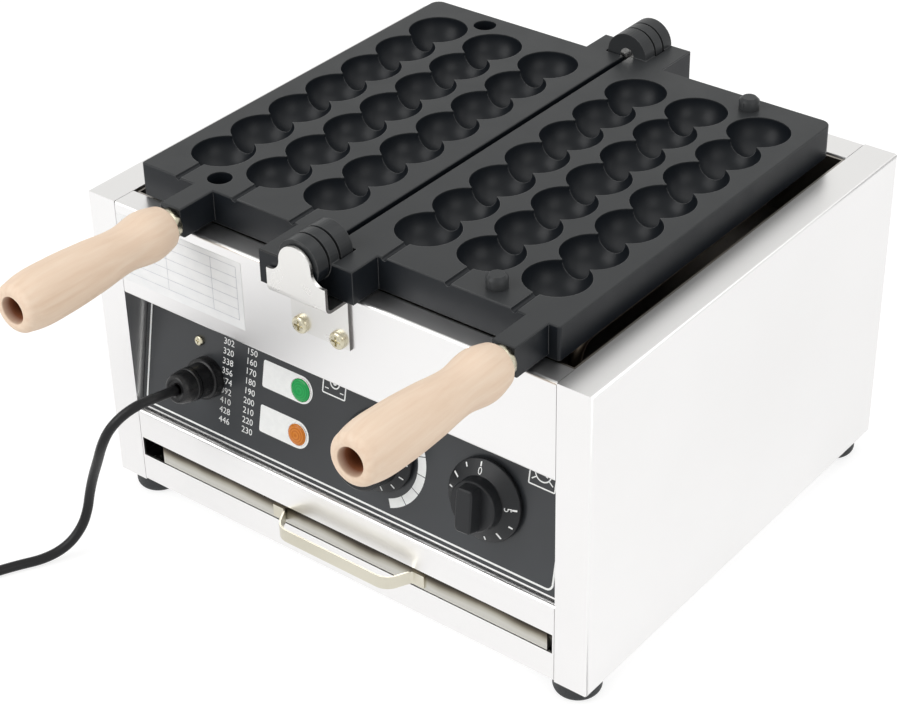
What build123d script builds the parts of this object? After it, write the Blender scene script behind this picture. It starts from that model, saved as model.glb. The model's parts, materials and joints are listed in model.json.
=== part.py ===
"""Bubble waffle maker: two hinged cast plates over a heated well, on a folded steel case.

Millimetres. +X right, +Y to the back, +Z up. The origin is on the table, under the middle of
the machine (its cord left out), so the case front lies at y = front.
"""

from build123d import *
from math import asin, cos, pi, radians, sin, tan
import os

os.makedirs("parts", exist_ok=True)

# Case
case_width = 380.0
case_depth = 333.0
case_height = 211.5
foot_height = 13.5
foot_diameter = 30.0
foot_inset = 18.5
foot_setback = 17.0
foot_round = 5.0
foot_recess = 8.0
foot_screw_head = 10.0
foot_screw_shank = 5.0
foot_screw_head_height = 3.0
foot_screw_end = 3.0
sheet = 1.5
bend_radius = 2.0
side_strip = 23.5
seam = 0.3
well_lip = 8.0
base_flange = 16.0
base_inset = 4.0
ledge_depth = 24.0
vent_width = 60.0
vent_height = 4.0
vent_rows = 7
vent_columns = 4
vent_spacing = 14.0
vent_step = 7.0
strap_width = 40.0
case_screw_head = 8.0
case_screw_head_height = 2.4
case_screw_shank = 4.0
case_screw_length = 6.0
case_screw_rows = 3
case_screw_inset = 25.0
case_screw_offset = 10.0
screw_gap = 0.1
well_front = 18.0
rear_deck = 23.0
well_depth = 52.0

# Openings of the case front, from the top downwards
apron_height = 66.0
sill_height = 20.9
frame_bar = 21.6
slot_height = 14.0
panel_foot = 4.0
cheek_overlap = 3.0
apron_return_gap = 1.0
panel_lean = 11.1
label_thickness = 0.5

# Waffle plates
plate_width = 154.4
plate_depth = 290.4
plate_inset = 16.6
plate_gap = 4.0
plate_rise = 23.0
plate_clearance = 1.0
plate_face_thickness = 12.0
plate_wall = 6.0
front_corner = 2.0
rear_corner = 7.0
plate_edge_round = 0.8
cup_radius = 20.0
cup_wall = 4.0
cup_rows = 3
cups_in_row = 7
row_pitch = 45.57
cup_pitch = 35.42
first_row = 34.57
first_cup = 40.46
skewer_groove = 4.4

# Hinge
pin_diameter = 10.0
pin_running_gap = 0.05
knuckle_radius = 15.0
knuckle_gap = 1.8
knuckle_clearance = 1.0
pin_end_gap = 0.5
knuckle_play = 1.2
outer_knuckle = 8.9
middle_knuckle = 7.4
inner_knuckle = 10.3
hinge_block_width = 30.0
outer_block_reach = 33.8
inner_block_reach = 22.6
closed_gap = 0.6

# Hinge brackets
bracket_sheet = 2.0
bracket_bend = 3.0
bracket_corner = 2.0
bracket_half_width = 22.0
bracket_drop = 35.0
bracket_shoulder = 15.0
bracket_shoulder_round = 1.8
ear_root = 7.8
ear_radius = 12.0
bracket_screw_spacing = 28.6
bracket_screw_drop = 29.8
bracket_screw_head = 11.6
bracket_screw_head_height = 3.4
bracket_screw_round = 2.0
bracket_screw_shank = 5.0
bracket_screw_length = 12.0
cross_length = 6.4
cross_width = 1.4
cross_depth = 1.4
cross_scale = 0.6

# Locating pins of the right plate and their holes in the left one
locator_offset = 104.1
locator_edge = 13.8
locator_diameter = 13.0
locator_rise = 8.0
locator_hole = 15.6
locator_hole_depth = 9.6
locator_cone = 2.0
locator_shank = 8.0
locator_shank_length = 6.0
locator_gap = 0.05

# Handles
handle_length = 120.0
handle_root_radius = 13.2
handle_shoulder = 14.0
handle_shoulder_radius = 15.9
handle_waist = 35.0
handle_waist_radius = 13.8
handle_swell = 60.0
handle_swell_radius = 15.8
handle_grip = 86.0
handle_grip_radius = 17.2
handle_end = 108.0
handle_end_radius = 16.7
handle_tip_radius = 14.2
handle_bore = 12.5
handle_counterbore = 42.0
rod_diameter = 8.0
rod_gap = 0.1
rod_grip = 16.0
rod_head = 11.4
rod_head_height = 6.0
rod_socket = 6.0
rod_socket_depth = 4.0
collar_diameter = 19.0
collar_length = 6.0
lug_width = 15.4
lug_height = 20.0
lug_root = 5.0
lug_inner_root = 1.5
lug_heel = 3.5
lug_rise = 11.4
left_lug_x = 104.7
right_lug_x = 141.3
left_lug_reach = 28.6
right_lug_reach = 30.6
left_handle_tilt = 0.8
right_handle_tilt = 2.6

# Controls
knob_height = 45.4
knob_skirt_radius = 26.0
knob_skirt_rise = 5.0
knob_rise = 24.0
knob_standoff = 1.0
knob_bore_depth = 12.0
knob_bore_gap = 0.05
knob_hub_radius = 16.0
knob_hub_rise = 12.0
knob_edge_round = 1.2
grip_base_half_width = 10.0
grip_half_length = 14.6
grip_half_width = 5.8
round_grip_radius = 19.5
timer_knob_x = 109.2
temperature_knob_x = 29.0
shaft_diameter = 6.0
shaft_end_gap = 0.5
shaft_hole_gap = 1.0
timer_body_width = 42.0
timer_body_height = 46.0
timer_body_depth = 30.0
thermostat_body_size = 34.0
thermostat_body_depth = 24.0
lamp_x = -35.2
lamp_upper = 61.0
lamp_lower = 30.6
green_lens_diameter = 15.0
amber_lens_diameter = 14.0
lamp_body_diameter = 12.0
lamp_body_length = 30.0
lamp_dome = 2.4
lamp_lens_round = 1.9
panel_screw_x = -119.7
panel_screw_height = 64.2
panel_screw_head = 6.6
panel_screw_head_height = 2.2
panel_screw_length = 9.0
panel_screw_shank = 3.5

# Drip tray
slot_side = 1.5
tray_right_gap = 4.0
tray_left_gap = 17.5
tray_rear_gap = 33.0
tray_wall = 1.0
tray_play = 0.5
tray_recess = 0.5
tray_handle_x = 10.0
tray_handle_width = 103.0
tray_handle_depth = 17.0
tray_handle_height = 9.0
tray_handle_sheet = 1.2
tray_handle_bend = 12.0
tray_handle_slant = 8.0
tray_handle_tab = 9.0
runner_width = 8.0
runner_foot = 10.0
runner_gap = 0.3
runner_setback = 6.0

# Heating and wiring
heater_diameter = 8.0
heater_drop = 14.0
heater_edge = 38.0
heater_leg_bend = 14.0
heater_first = 22.0
heater_pitch = 39.0
heater_legs = 4
heater_tail = 12.0
heater_hole_gap = 0.3
pan_flange = 12.0
pan_side_gap = 1.0
bulb_diameter = 6.0
bulb_length = 90.0
capillary_diameter = 2.4
capillary_hole = 5.0
capillary_bend = 12.0
capillary_run = 24.0
bulb_start = 90.0
bulb_gap = 0.3
shelf_setback = 6.0
terminal_length = 46.0
terminal_width = 20.0
terminal_height = 18.0
terminal_setback = 60.0
terminal_bore = 5.0
terminal_bore_depth = 10.0
terminal_pitch = 14.0

# Cord
cord_diameter = 6.5
gland_x = -111.0
gland_height = 42.0
gland_length = 30.0
gland_nut_diameter = 18.0
gland_nut_length = 14.0
gland_base_diameter = 27.0
gland_base_length = 6.0
gland_neck_diameter = 22.0
gland_thread_length = 12.0
gland_locknut = 24.0
gland_locknut_thickness = 5.0
gland_thread = 16.0
coil_radius = 40.0
coil_inner_turns = 4
coil_outer_turns = 5
cord_gap = 0.5
coil_tail = 30.0
cord_exit_run = 10.0
plug_width = 27.0
plug_length = 38.0
plug_neck_diameter = 11.0
plug_neck_length = 14.0
plug_pin_diameter = 4.8
plug_pin_length = 19.0
plug_pin_spacing = 19.0
plug_round = 4.0

# Worked out from the sizes above
case_bottom = foot_height
case_top = case_bottom + case_height
half_width = case_width / 2
inner_x = half_width - side_strip
plate_face = case_top + plate_rise
hinge_z = plate_face + closed_gap / 2
plate_middle = plate_inset + plate_depth / 2
ear_inside = outer_block_reach + knuckle_play
ear_outside = ear_inside + bracket_sheet
rear_reach = plate_inset + plate_depth + ear_outside
handle_start = right_lug_reach + collar_length - plate_inset
front_reach = handle_start + handle_length * cos(radians(right_handle_tilt))
front_reach += handle_tip_radius * sin(radians(right_handle_tilt))
front = -(rear_reach - front_reach) / 2
apron_bottom = case_top - apron_height
slot_bottom = case_bottom + sill_height
slot_top = slot_bottom + slot_height
panel_bottom = slot_top + frame_bar
panel_height = apron_bottom - panel_bottom
slot_half = inner_x - slot_side
tray_left = -slot_half + tray_left_gap
tray_right = slot_half - tray_right_gap
tray_depth = case_depth - tray_rear_gap
vent_middle = case_bottom + case_height * 0.4
panel_half = inner_x - seam
base_top = case_bottom + 2 * sheet
foot_width = case_width - 2 * foot_inset
foot_length = case_depth - 2 * foot_setback
shelf_top = panel_bottom - sheet
well_rear = front + case_depth - rear_deck
well_y = (front + well_front + well_rear) / 2
pan_flange_half = (well_rear - front - well_front) / 2 - pan_flange
heater_front = front + well_front + heater_edge
heater_rear = well_rear - heater_edge
heater_z = case_top - heater_drop
heater_last = heater_first + (heater_legs - 1) * heater_pitch
pocket_radius = knuckle_radius + knuckle_clearance
bore_radius = pin_diameter / 2 + pin_running_gap
middle_stop = outer_block_reach - outer_knuckle - knuckle_gap
middle_start = middle_stop - middle_knuckle
knuckle_end = middle_start - knuckle_gap - inner_knuckle
bore_end = knuckle_end - pin_end_gap
case_middle = case_bottom + case_height / 2
case_screw_pitch = (case_height - 2 * case_screw_inset) / (case_screw_rows - 1)
panel_head_gap = 1.0
lean = radians(panel_lean)
panel_length = panel_height / cos(lean)
panel_back = -(label_thickness + sheet)
panel_seat = seam - panel_back * tan(lean)
panel_head = panel_foot + panel_height * tan(lean)
panel_face = Plane(
    origin=(0, front + panel_foot, panel_bottom),
    x_dir=(1, 0, 0),
    z_dir=(0, -cos(lean), sin(lean)),
)


def level(z):
    """Plane facing up at height z: its sketch axes are X and Y."""
    return Plane.XY.offset(z)


def behind(depth):
    """Plane facing forward, depth behind the case front: its sketch axes are X and Z."""
    return Plane.XZ.offset(-(front + depth))


def across(x):
    """Plane facing right at x: its sketch axes are Y and Z."""
    return Plane.YZ.offset(x)


def on_panel(rise):
    """Plane parallel to the leaning control panel, rise in front of its label."""
    return panel_face.offset(rise)


def plate_edge(end, reach):
    """Plane facing forward, at a reach beyond the front (end -1) or rear (end 1) plate edge."""
    return Plane.XZ.offset(-(front + plate_middle + end * (plate_depth / 2 + reach)))


def rectangle(left, low, right, high):
    """Rectangle between two corners of the current sketch."""
    with Locations(((left + right) / 2, (low + high) / 2)):
        Rectangle(right - left, high - low)


def folded(plane, points, thickness=sheet, bend=bend_radius):
    """Cross-section of a folded sheet whose outside follows the points, metal on their left."""
    with BuildSketch(plane) as section:
        with BuildLine():
            FilletPolyline(*points, radius=bend)
            offset(amount=thickness, side=Side.LEFT)
        make_face()
    return section.sketch


# Folded side panels: a wall with strips turned in at the front, back, top and bottom,
# and a cheek that closes the side of the control recess
for side, hand in (("left", -1), ("right", 1)):
    with BuildPart() as side_panel:
        with BuildSketch(level(case_bottom)):
            with Locations((hand * (half_width + inner_x) / 2, front + case_depth / 2)):
                Rectangle(side_strip, case_depth)
        extrude(amount=case_height)
        outer_face = faces().sort_by(Axis.X)[-1 if hand > 0 else 0]
        seam_face = faces().sort_by(Axis.X)[0 if hand > 0 else -1]
        fillet(outer_face.edges(), bend_radius)
        offset(amount=-sheet, openings=seam_face)
        with BuildSketch(across(hand * inner_x)):
            rectangle(front, panel_bottom, front + panel_head + cheek_overlap, apron_bottom)
        extrude(amount=hand * sheet)
        with Locations(behind(case_depth - sheet)):
            with Locations((hand * (inner_x + case_screw_offset), case_middle)):
                with GridLocations(1, case_screw_pitch, 1, case_screw_rows):
                    Hole(radius=case_screw_shank / 2 + screw_gap, depth=sheet)
        with Locations(level(case_bottom + sheet)):
            with Locations((hand * foot_width / 2, front + case_depth / 2)):
                with GridLocations(1, foot_length, 1, 2):
                    Hole(radius=foot_screw_shank / 2 + screw_gap, depth=sheet)
    side_panel.part.label = f"side_panel_{side}"
    export_step(side_panel.part, f"parts/side_panel_{side}.step")

# Front apron: face, top flange with a lip down into the well, and a return over the controls
apron_section = folded(across(-inner_x + seam), [
    (front + well_front, case_top - well_lip),
    (front + well_front, case_top),
    (front, case_top),
    (front, apron_bottom),
    (front + panel_head - apron_return_gap, apron_bottom),
])
with BuildPart() as front_apron:
    extrude(apron_section, amount=2 * (inner_x - seam))
    with Locations(behind(0)):
        with Locations((0, case_top - bracket_screw_drop)):
            with GridLocations(bracket_screw_spacing, 1, 2, 1):
                Hole(radius=bracket_screw_shank / 2 + screw_gap, depth=sheet)
front_apron.part.label = "front_apron"
export_step(front_apron.part, "parts/front_apron.step")

# Rear panel: top flange, back wall with ventilation slots, and a foot flange
rear_section = folded(across(-inner_x + seam), [
    (front + case_depth - base_flange, case_bottom),
    (front + case_depth, case_bottom),
    (front + case_depth, case_top),
    (front + case_depth - rear_deck, case_top),
    (front + case_depth - rear_deck, case_top - well_lip),
])
with BuildPart() as rear_panel:
    extrude(rear_section, amount=2 * (inner_x - seam))
    with BuildSketch(behind(case_depth)):
        with Locations((0, vent_middle)):
            with GridLocations(vent_width + vent_spacing, vent_height + vent_step, vent_columns, vent_rows):
                SlotOverall(vent_width, vent_height)
    extrude(amount=sheet, both=True, mode=Mode.SUBTRACT)
    with Locations(behind(case_depth - sheet)):
        with Locations((0, case_top - bracket_screw_drop)):
            with GridLocations(bracket_screw_spacing, 1, 2, 1):
                Hole(radius=bracket_screw_shank / 2 + screw_gap, depth=sheet)
        with Locations((0, case_middle)):
            with GridLocations(2 * (inner_x - case_screw_offset), case_screw_pitch, 2, case_screw_rows):
                Hole(radius=case_screw_shank / 2 + screw_gap, depth=sheet)
rear_panel.part.label = "rear_panel"
export_step(rear_panel.part, "parts/rear_panel.step")

# Lower front frame: ledge under the controls, and the slot that the drip tray slides through
frame_section = folded(across(-inner_x + seam), [
    (front + panel_foot + ledge_depth, panel_bottom),
    (front, panel_bottom),
    (front, case_bottom),
    (front + base_flange, case_bottom),
])
with BuildPart() as lower_frame:
    extrude(frame_section, amount=2 * (inner_x - seam))
    with BuildSketch(behind(0)):
        rectangle(-slot_half, slot_bottom, slot_half, slot_top)
    extrude(amount=-sheet, both=True, mode=Mode.SUBTRACT)
lower_frame.part.label = "lower_frame"
export_step(lower_frame.part, "parts/lower_frame.step")

# Control panel: the leaning steel plate and the printed label on it, with the same holes
# for the lamps, the knob shafts, the cord gland and the panel screw
for sheet_name, rise, depth in (
    ("control_panel", -label_thickness, sheet),
    ("control_label", 0, label_thickness),
):
    with BuildPart() as panel_sheet:
        with BuildSketch(on_panel(rise)):
            rectangle(-panel_half, panel_seat, panel_half, panel_length - panel_head_gap)
            with Locations((timer_knob_x, knob_height), (temperature_knob_x, knob_height)):
                Circle(shaft_diameter / 2 + shaft_hole_gap, mode=Mode.SUBTRACT)
            with Locations((lamp_x, lamp_upper), (lamp_x, lamp_lower)):
                Circle(lamp_body_diameter / 2 + seam, mode=Mode.SUBTRACT)
            with Locations((gland_x, gland_height)):
                Circle(gland_thread / 2 + seam, mode=Mode.SUBTRACT)
            with Locations((panel_screw_x, panel_screw_height)):
                Circle(panel_screw_shank / 2 + screw_gap, mode=Mode.SUBTRACT)
        extrude(amount=-depth)
    panel_sheet.part.label = sheet_name
    export_step(panel_sheet.part, f"parts/{sheet_name}.step")

# Base plate on the bottom flanges, with the holes of the foot screws
with BuildPart() as base_plate:
    with BuildSketch(level(base_top)):
        rectangle(
            -half_width + base_inset,
            front + base_inset,
            half_width - base_inset,
            front + case_depth - base_inset,
        )
        with Locations((0, front + case_depth / 2)):
            with GridLocations(foot_width, foot_length, 2, 2):
                Circle(foot_screw_shank / 2 + screw_gap, mode=Mode.SUBTRACT)
    extrude(amount=-sheet)
base_plate.part.label = "base_plate"
export_step(base_plate.part, "parts/base_plate.step")

# Rubber feet, with a recess for the screw head
for end_name, end in (("front", -1), ("rear", 1)):
    for side, hand in (("left", -1), ("right", 1)):
        foot_place = (hand * foot_width / 2, front + case_depth / 2 + end * foot_length / 2)
        with BuildPart() as foot:
            with BuildSketch(level(0)):
                with Locations(foot_place):
                    Circle(foot_diameter / 2)
            extrude(amount=foot_height)
            fillet(foot.faces().sort_by(Axis.Z)[0].edges(), foot_round)
            with BuildSketch(level(0)):
                with Locations(foot_place):
                    Circle(foot_screw_head / 2 + seam)
            extrude(amount=foot_recess, mode=Mode.SUBTRACT)
            with BuildSketch(level(0)):
                with Locations(foot_place):
                    Circle(foot_screw_shank / 2 + screw_gap)
            extrude(amount=foot_height, mode=Mode.SUBTRACT)
        foot.part.label = f"foot_{end_name}_{side}"
        export_step(foot.part, f"parts/foot_{end_name}_{side}.step")

with BuildPart() as foot_screws:
    for base, diameter, height in (
        (foot_recess - foot_screw_head_height, foot_screw_head, foot_screw_head_height),
        (foot_recess, foot_screw_shank, base_top - foot_recess + foot_screw_end),
    ):
        with BuildSketch(level(base)):
            with Locations((0, front + case_depth / 2)):
                with GridLocations(foot_width, foot_length, 2, 2):
                    Circle(diameter / 2)
        extrude(amount=height)
foot_screws.part.label = "foot_screws"
export_step(foot_screws.part, "parts/foot_screws.step")

# Straps behind the rear seams, and the screws through both sheets into them
with BuildPart() as corner_straps:
    with BuildSketch(behind(case_depth - sheet)):
        with Locations((0, (base_top + case_top - sheet) / 2)):
            with GridLocations(2 * inner_x, 1, 2, 1):
                Rectangle(strap_width, case_top - sheet - base_top - 2 * bend_radius)
        with Locations((0, case_middle)):
            with GridLocations(2 * (inner_x - case_screw_offset), case_screw_pitch, 2, case_screw_rows):
                Circle(case_screw_shank / 2 + screw_gap, mode=Mode.SUBTRACT)
            with GridLocations(2 * (inner_x + case_screw_offset), case_screw_pitch, 2, case_screw_rows):
                Circle(case_screw_shank / 2 + screw_gap, mode=Mode.SUBTRACT)
    extrude(amount=sheet)
corner_straps.part.label = "corner_straps"
export_step(corner_straps.part, "parts/corner_straps.step")

with BuildPart() as case_screws:
    for diameter, length in (
        (case_screw_head, -case_screw_head_height),
        (case_screw_shank, case_screw_length),
    ):
        with BuildSketch(behind(case_depth)):
            with Locations((0, case_middle)):
                for spread in (inner_x - case_screw_offset, inner_x + case_screw_offset):
                    with GridLocations(2 * spread, case_screw_pitch, 2, case_screw_rows):
                        Circle(diameter / 2)
        extrude(amount=length)
case_screws.part.label = "case_screws"
export_step(case_screws.part, "parts/case_screws.step")

# Plate that parts the wiring from the drip tray, under the ledge of the lower frame
with BuildPart() as wiring_shelf:
    with BuildSketch(level(shelf_top)):
        rectangle(-panel_half, front + shelf_setback, panel_half, front + case_depth - 2 * sheet - seam)
    extrude(amount=-sheet)
wiring_shelf.part.label = "wiring_shelf"
export_step(wiring_shelf.part, "parts/wiring_shelf.step")

# Well pan under the heaters: its side flanges lie under the top strips of the case
pan_floor = case_top - well_depth
pan_half = inner_x - pan_side_gap
bulb_hole_y = front + bulb_start
with BuildPart() as heat_tray:
    with BuildSketch(level(pan_floor)):
        rectangle(-pan_half, front + well_front + seam, pan_half, well_rear - seam)
    extrude(amount=well_depth - sheet)
    offset(amount=-sheet, openings=heat_tray.faces().sort_by(Axis.Z)[-1])
    with BuildSketch(level(case_top - sheet)):
        rectangle(-pan_half - pan_flange, well_y - pan_flange_half, -pan_half, well_y + pan_flange_half)
        rectangle(pan_half, well_y - pan_flange_half, pan_half + pan_flange, well_y + pan_flange_half)
    extrude(amount=-sheet)
    with BuildSketch(level(pan_floor)):
        with Locations((0, heater_front)):
            for leg_x in (heater_first, heater_last):
                with GridLocations(2 * leg_x, 1, 2, 1):
                    Circle(heater_diameter / 2 + heater_hole_gap)
        with Locations((0, bulb_hole_y)):
            Circle(capillary_hole / 2)
    extrude(amount=sheet, mode=Mode.SUBTRACT)
heat_tray.part.label = "heat_tray"
export_step(heat_tray.part, "parts/heat_tray.step")

# Tube heaters: four legs under each plate, whose ends go down through the pan floor
for side, hand in (("left", -1), ("right", 1)):
    leg_points = [(hand * heater_first, heater_front, pan_floor - heater_tail)]
    for leg in range(heater_legs):
        leg_x = hand * (heater_first + leg * heater_pitch)
        leg_ends = [(leg_x, heater_front, heater_z), (leg_x, heater_rear, heater_z)]
        if leg % 2:
            leg_ends.reverse()
        leg_points += leg_ends
    leg_points.append((hand * heater_last, heater_front, pan_floor - heater_tail))
    turn_radius = heater_pitch / 2 - seam
    turn_radii = [heater_leg_bend] + [turn_radius] * (2 * heater_legs - 2) + [heater_leg_bend]
    with BuildPart() as heater:
        with BuildLine() as heater_line:
            FilletPolyline(*leg_points, radius=turn_radii)
        with BuildSketch(Plane(origin=heater_line.line @ 0, z_dir=heater_line.line % 0)):
            Circle(heater_diameter / 2)
        sweep()
    heater.part.label = f"heater_{side}"
    export_step(heater.part, f"parts/heater_{side}.step")

# Hinge brackets: a foot screwed to the case, a shelf out to the hinge, and an ear that
# holds the end of the pin
for end_name, end, face_y in (("front", -1, front), ("rear", 1, front + case_depth)):
    ear_y = front + plate_middle + end * (plate_depth / 2 + ear_inside)
    bracket_points = [
        (face_y, case_top - bracket_drop),
        (face_y, case_top),
        (ear_y, case_top),
        (ear_y, hinge_z + ear_radius),
    ]
    if end > 0:
        bracket_points.reverse()
    bracket_side = across(-bracket_half_width)
    bracket_section = folded(bracket_side, bracket_points, bracket_sheet, bracket_bend)
    with BuildSketch(Plane.XZ) as bracket_outline:
        rectangle(
            -bracket_half_width,
            case_top - bracket_drop,
            bracket_half_width,
            case_top + bracket_shoulder,
        )
        rectangle(-ear_radius, case_top, ear_radius, hinge_z)
        with Locations((0, hinge_z)):
            Circle(ear_radius)
        foot_corners = bracket_outline.vertices().group_by(Axis.Y)[0]
        shoulder_line = bracket_outline.vertices().filter_by_position(
            Axis.Y, case_top + bracket_shoulder - seam, case_top + bracket_shoulder + seam
        )
        shoulder_corners = shoulder_line.sort_by(Axis.X)
        fillet(shoulder_corners[1:-1], ear_root)
        fillet([shoulder_corners[0], shoulder_corners[-1]], bracket_shoulder_round)
        fillet(foot_corners, bracket_corner)
        with Locations((0, case_top - bracket_screw_drop)):
            with GridLocations(bracket_screw_spacing, 1, 2, 1):
                Circle(bracket_screw_shank / 2 + screw_gap, mode=Mode.SUBTRACT)
    with BuildPart() as hinge_bracket:
        extrude(bracket_section, amount=2 * bracket_half_width)
        extrude(bracket_outline.sketch, amount=case_depth, both=True, mode=Mode.INTERSECT)
    hinge_bracket.part.label = f"hinge_bracket_{end_name}"
    export_step(hinge_bracket.part, f"parts/hinge_bracket_{end_name}.step")

    with BuildPart() as hinge_pin:
        with BuildSketch(plate_edge(end, ear_inside)):
            with Locations((0, hinge_z)):
                Circle(pin_diameter / 2)
        extrude(amount=end * (ear_inside - knuckle_end))
    hinge_pin.part.label = f"hinge_pin_{end_name}"
    export_step(hinge_pin.part, f"parts/hinge_pin_{end_name}.step")

# Bracket screws: domed heads with a cross recess
with BuildPart() as bracket_screws:
    for end, seat_depth in ((-1, -bracket_sheet), (1, case_depth + bracket_sheet)):
        for diameter, length in (
            (bracket_screw_head, -end * bracket_screw_head_height),
            (bracket_screw_shank, end * bracket_screw_length),
        ):
            with BuildSketch(behind(seat_depth)):
                with Locations((0, case_top - bracket_screw_drop)):
                    with GridLocations(bracket_screw_spacing, 1, 2, 1):
                        Circle(diameter / 2)
            extrude(amount=length)
    head_rims = bracket_screws.edges().filter_by(GeomType.CIRCLE).sort_by(Axis.Y)
    fillet(head_rims[:2] + head_rims[-2:], bracket_screw_round)
    for end, top_depth in (
        (-1, -bracket_sheet - bracket_screw_head_height),
        (1, case_depth + bracket_sheet + bracket_screw_head_height),
    ):
        with BuildSketch(behind(top_depth)):
            with Locations((0, case_top - bracket_screw_drop)):
                with GridLocations(bracket_screw_spacing, 1, 2, 1):
                    Rectangle(cross_length, cross_width)
                    Rectangle(cross_width, cross_length)
        extrude(amount=end * cross_depth, mode=Mode.SUBTRACT)
bracket_screws.part.label = "bracket_screws"
export_step(bracket_screws.part, "parts/bracket_screws.step")

# Cast baking plates. Each has two knuckles at one end (its outer end) and one at the other,
# so that the knuckles of the two plates interleave
first_cup_y = front + plate_inset + first_cup
last_cup_y = first_cup_y + (cups_in_row - 1) * cup_pitch
for side, hand, outer_end, lug_x, lug_reach, tilt in (
    ("left", -1, -1, left_lug_x, left_lug_reach, radians(left_handle_tilt)),
    ("right", 1, 1, right_lug_x, right_lug_reach, radians(right_handle_tilt)),
):
    plate_x = hand * (plate_gap + plate_width) / 2
    plate_front = front + plate_inset
    row_places = [(hand * (first_row + row * row_pitch), plate_face) for row in range(cup_rows)]
    lug_root_z = case_top + lug_rise
    lug_face = Plane(
        origin=(hand * lug_x, front + plate_inset - lug_reach, lug_root_z + lug_reach * tan(tilt)),
        x_dir=(1, 0, 0),
        z_dir=(0, -cos(tilt), sin(tilt)),
    )
    with BuildPart() as plate:
        with BuildSketch(level(plate_face)) as plate_outline:
            with Locations((plate_x, front + plate_middle)):
                Rectangle(plate_width, plate_depth)
            rear_corners = plate_outline.vertices().group_by(Axis.Y)[-1]
            fillet(rear_corners.sort_by(Axis.X, reverse=hand < 0)[-1], rear_corner)
            with Locations((hand * lug_x, plate_front)):
                Rectangle(lug_width, 2 * (lug_reach + lug_heel))
            front_line = plate_outline.vertices().filter_by_position(
                Axis.Y, plate_front - seam, plate_front + seam
            )
            inner_root, outer_root, outer_corner = front_line.sort_by(Axis.X, reverse=hand < 0)[1:]
            fillet(outer_corner, front_corner)
            fillet(outer_root, lug_root)
            fillet(inner_root, lug_inner_root)
            for end, reach in ((outer_end, outer_block_reach), (-outer_end, inner_block_reach)):
                block_width = hinge_block_width - plate_gap / 2
                block_x = hand * (plate_gap / 2 + block_width / 2)
                block_y = front + plate_middle + end * (plate_depth + reach - plate_wall) / 2
                with Locations((block_x, block_y)):
                    Rectangle(block_width, reach + plate_wall)
        extrude(amount=plate_clearance - plate_rise)

        # Handle lug: its end square to the rod, its underside above that of the plate
        with BuildSketch(lug_face):
            Rectangle(lug_width + 2 * lug_root, 2 * plate_rise)
        extrude(amount=2 * lug_heel, mode=Mode.SUBTRACT)
        with BuildSketch(level(plate_face - lug_height)):
            with Locations((hand * lug_x, plate_front)):
                Rectangle(
                    lug_width + 2 * lug_root,
                    2 * (lug_reach + lug_heel),
                    align=(Align.CENTER, Align.MAX),
                )
        extrude(amount=-plate_rise, mode=Mode.SUBTRACT)
        lug_end = plate.faces().sort_by_distance(lug_face.origin)[0]
        fillet(lug_end.edges().sort_by(Axis.Z)[0], lug_heel)
        fillet(plate.faces().sort_by(Axis.Z)[-1].edges(), plate_edge_round)
        with BuildSketch(level(plate_face - plate_face_thickness)):
            with Locations((plate_x, front + plate_middle)):
                Rectangle(plate_width - 2 * plate_wall, plate_depth - 2 * plate_wall)
        extrude(amount=-plate_rise, mode=Mode.SUBTRACT)

        # Ridges under the rows, then the hollows
        with BuildSketch(Plane.XZ.offset(-first_cup_y)):
            with Locations(*row_places):
                Circle(cup_radius + cup_wall)
            with Locations((plate_x, plate_face + cup_radius)):
                Rectangle(plate_width, 2 * cup_radius, mode=Mode.SUBTRACT)
            with Locations((plate_x, plate_face + 2 * cup_radius)):
                Rectangle(plate_width, 2 * cup_radius, mode=Mode.SUBTRACT)
        extrude(amount=first_cup_y - last_cup_y)
        with Locations(*[(x, y, z) for x, z in row_places for y in (first_cup_y, last_cup_y)]):
            Sphere(
                cup_radius + cup_wall,
                arc_size1=-90,
                arc_size2=0,
                align=(Align.CENTER, Align.CENTER, Align.MAX),
            )
        rows_middle = hand * (first_row + row_pitch * (cup_rows - 1) / 2)
        with Locations((rows_middle, (first_cup_y + last_cup_y) / 2, plate_face)):
            with GridLocations(row_pitch, cup_pitch, cup_rows, cups_in_row):
                Sphere(cup_radius, mode=Mode.SUBTRACT)

        # Groove from each row to the front edge, for a stick
        with BuildSketch(plate_edge(-1, seam)):
            with Locations(*row_places):
                Circle(skewer_groove / 2)
        extrude(amount=-(first_cup - cup_radius + skewer_groove), mode=Mode.SUBTRACT)

        # Pockets for the other plate's knuckles, then this plate's own, then the pin bores
        for end, start, stop, radius, how in (
            (outer_end, middle_start - knuckle_gap, middle_stop + knuckle_gap, pocket_radius, Mode.SUBTRACT),
            (-outer_end, knuckle_end - knuckle_gap, middle_start, pocket_radius, Mode.SUBTRACT),
            (outer_end, knuckle_end, middle_start - knuckle_gap, knuckle_radius, Mode.ADD),
            (outer_end, middle_stop + knuckle_gap, outer_block_reach, knuckle_radius, Mode.ADD),
            (-outer_end, middle_start, middle_stop, knuckle_radius, Mode.ADD),
            (outer_end, bore_end, outer_block_reach, bore_radius, Mode.SUBTRACT),
            (-outer_end, bore_end, outer_block_reach, bore_radius, Mode.SUBTRACT),
        ):
            with BuildSketch(plate_edge(end, start)):
                with Locations((0, hinge_z)):
                    Circle(radius)
            extrude(amount=-end * (stop - start), mode=how)

        # Thread bore of the handle rod
        with BuildSketch(lug_face):
            Circle(rod_diameter / 2 + locator_gap)
        extrude(amount=-rod_grip - seam, mode=Mode.SUBTRACT)

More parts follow.
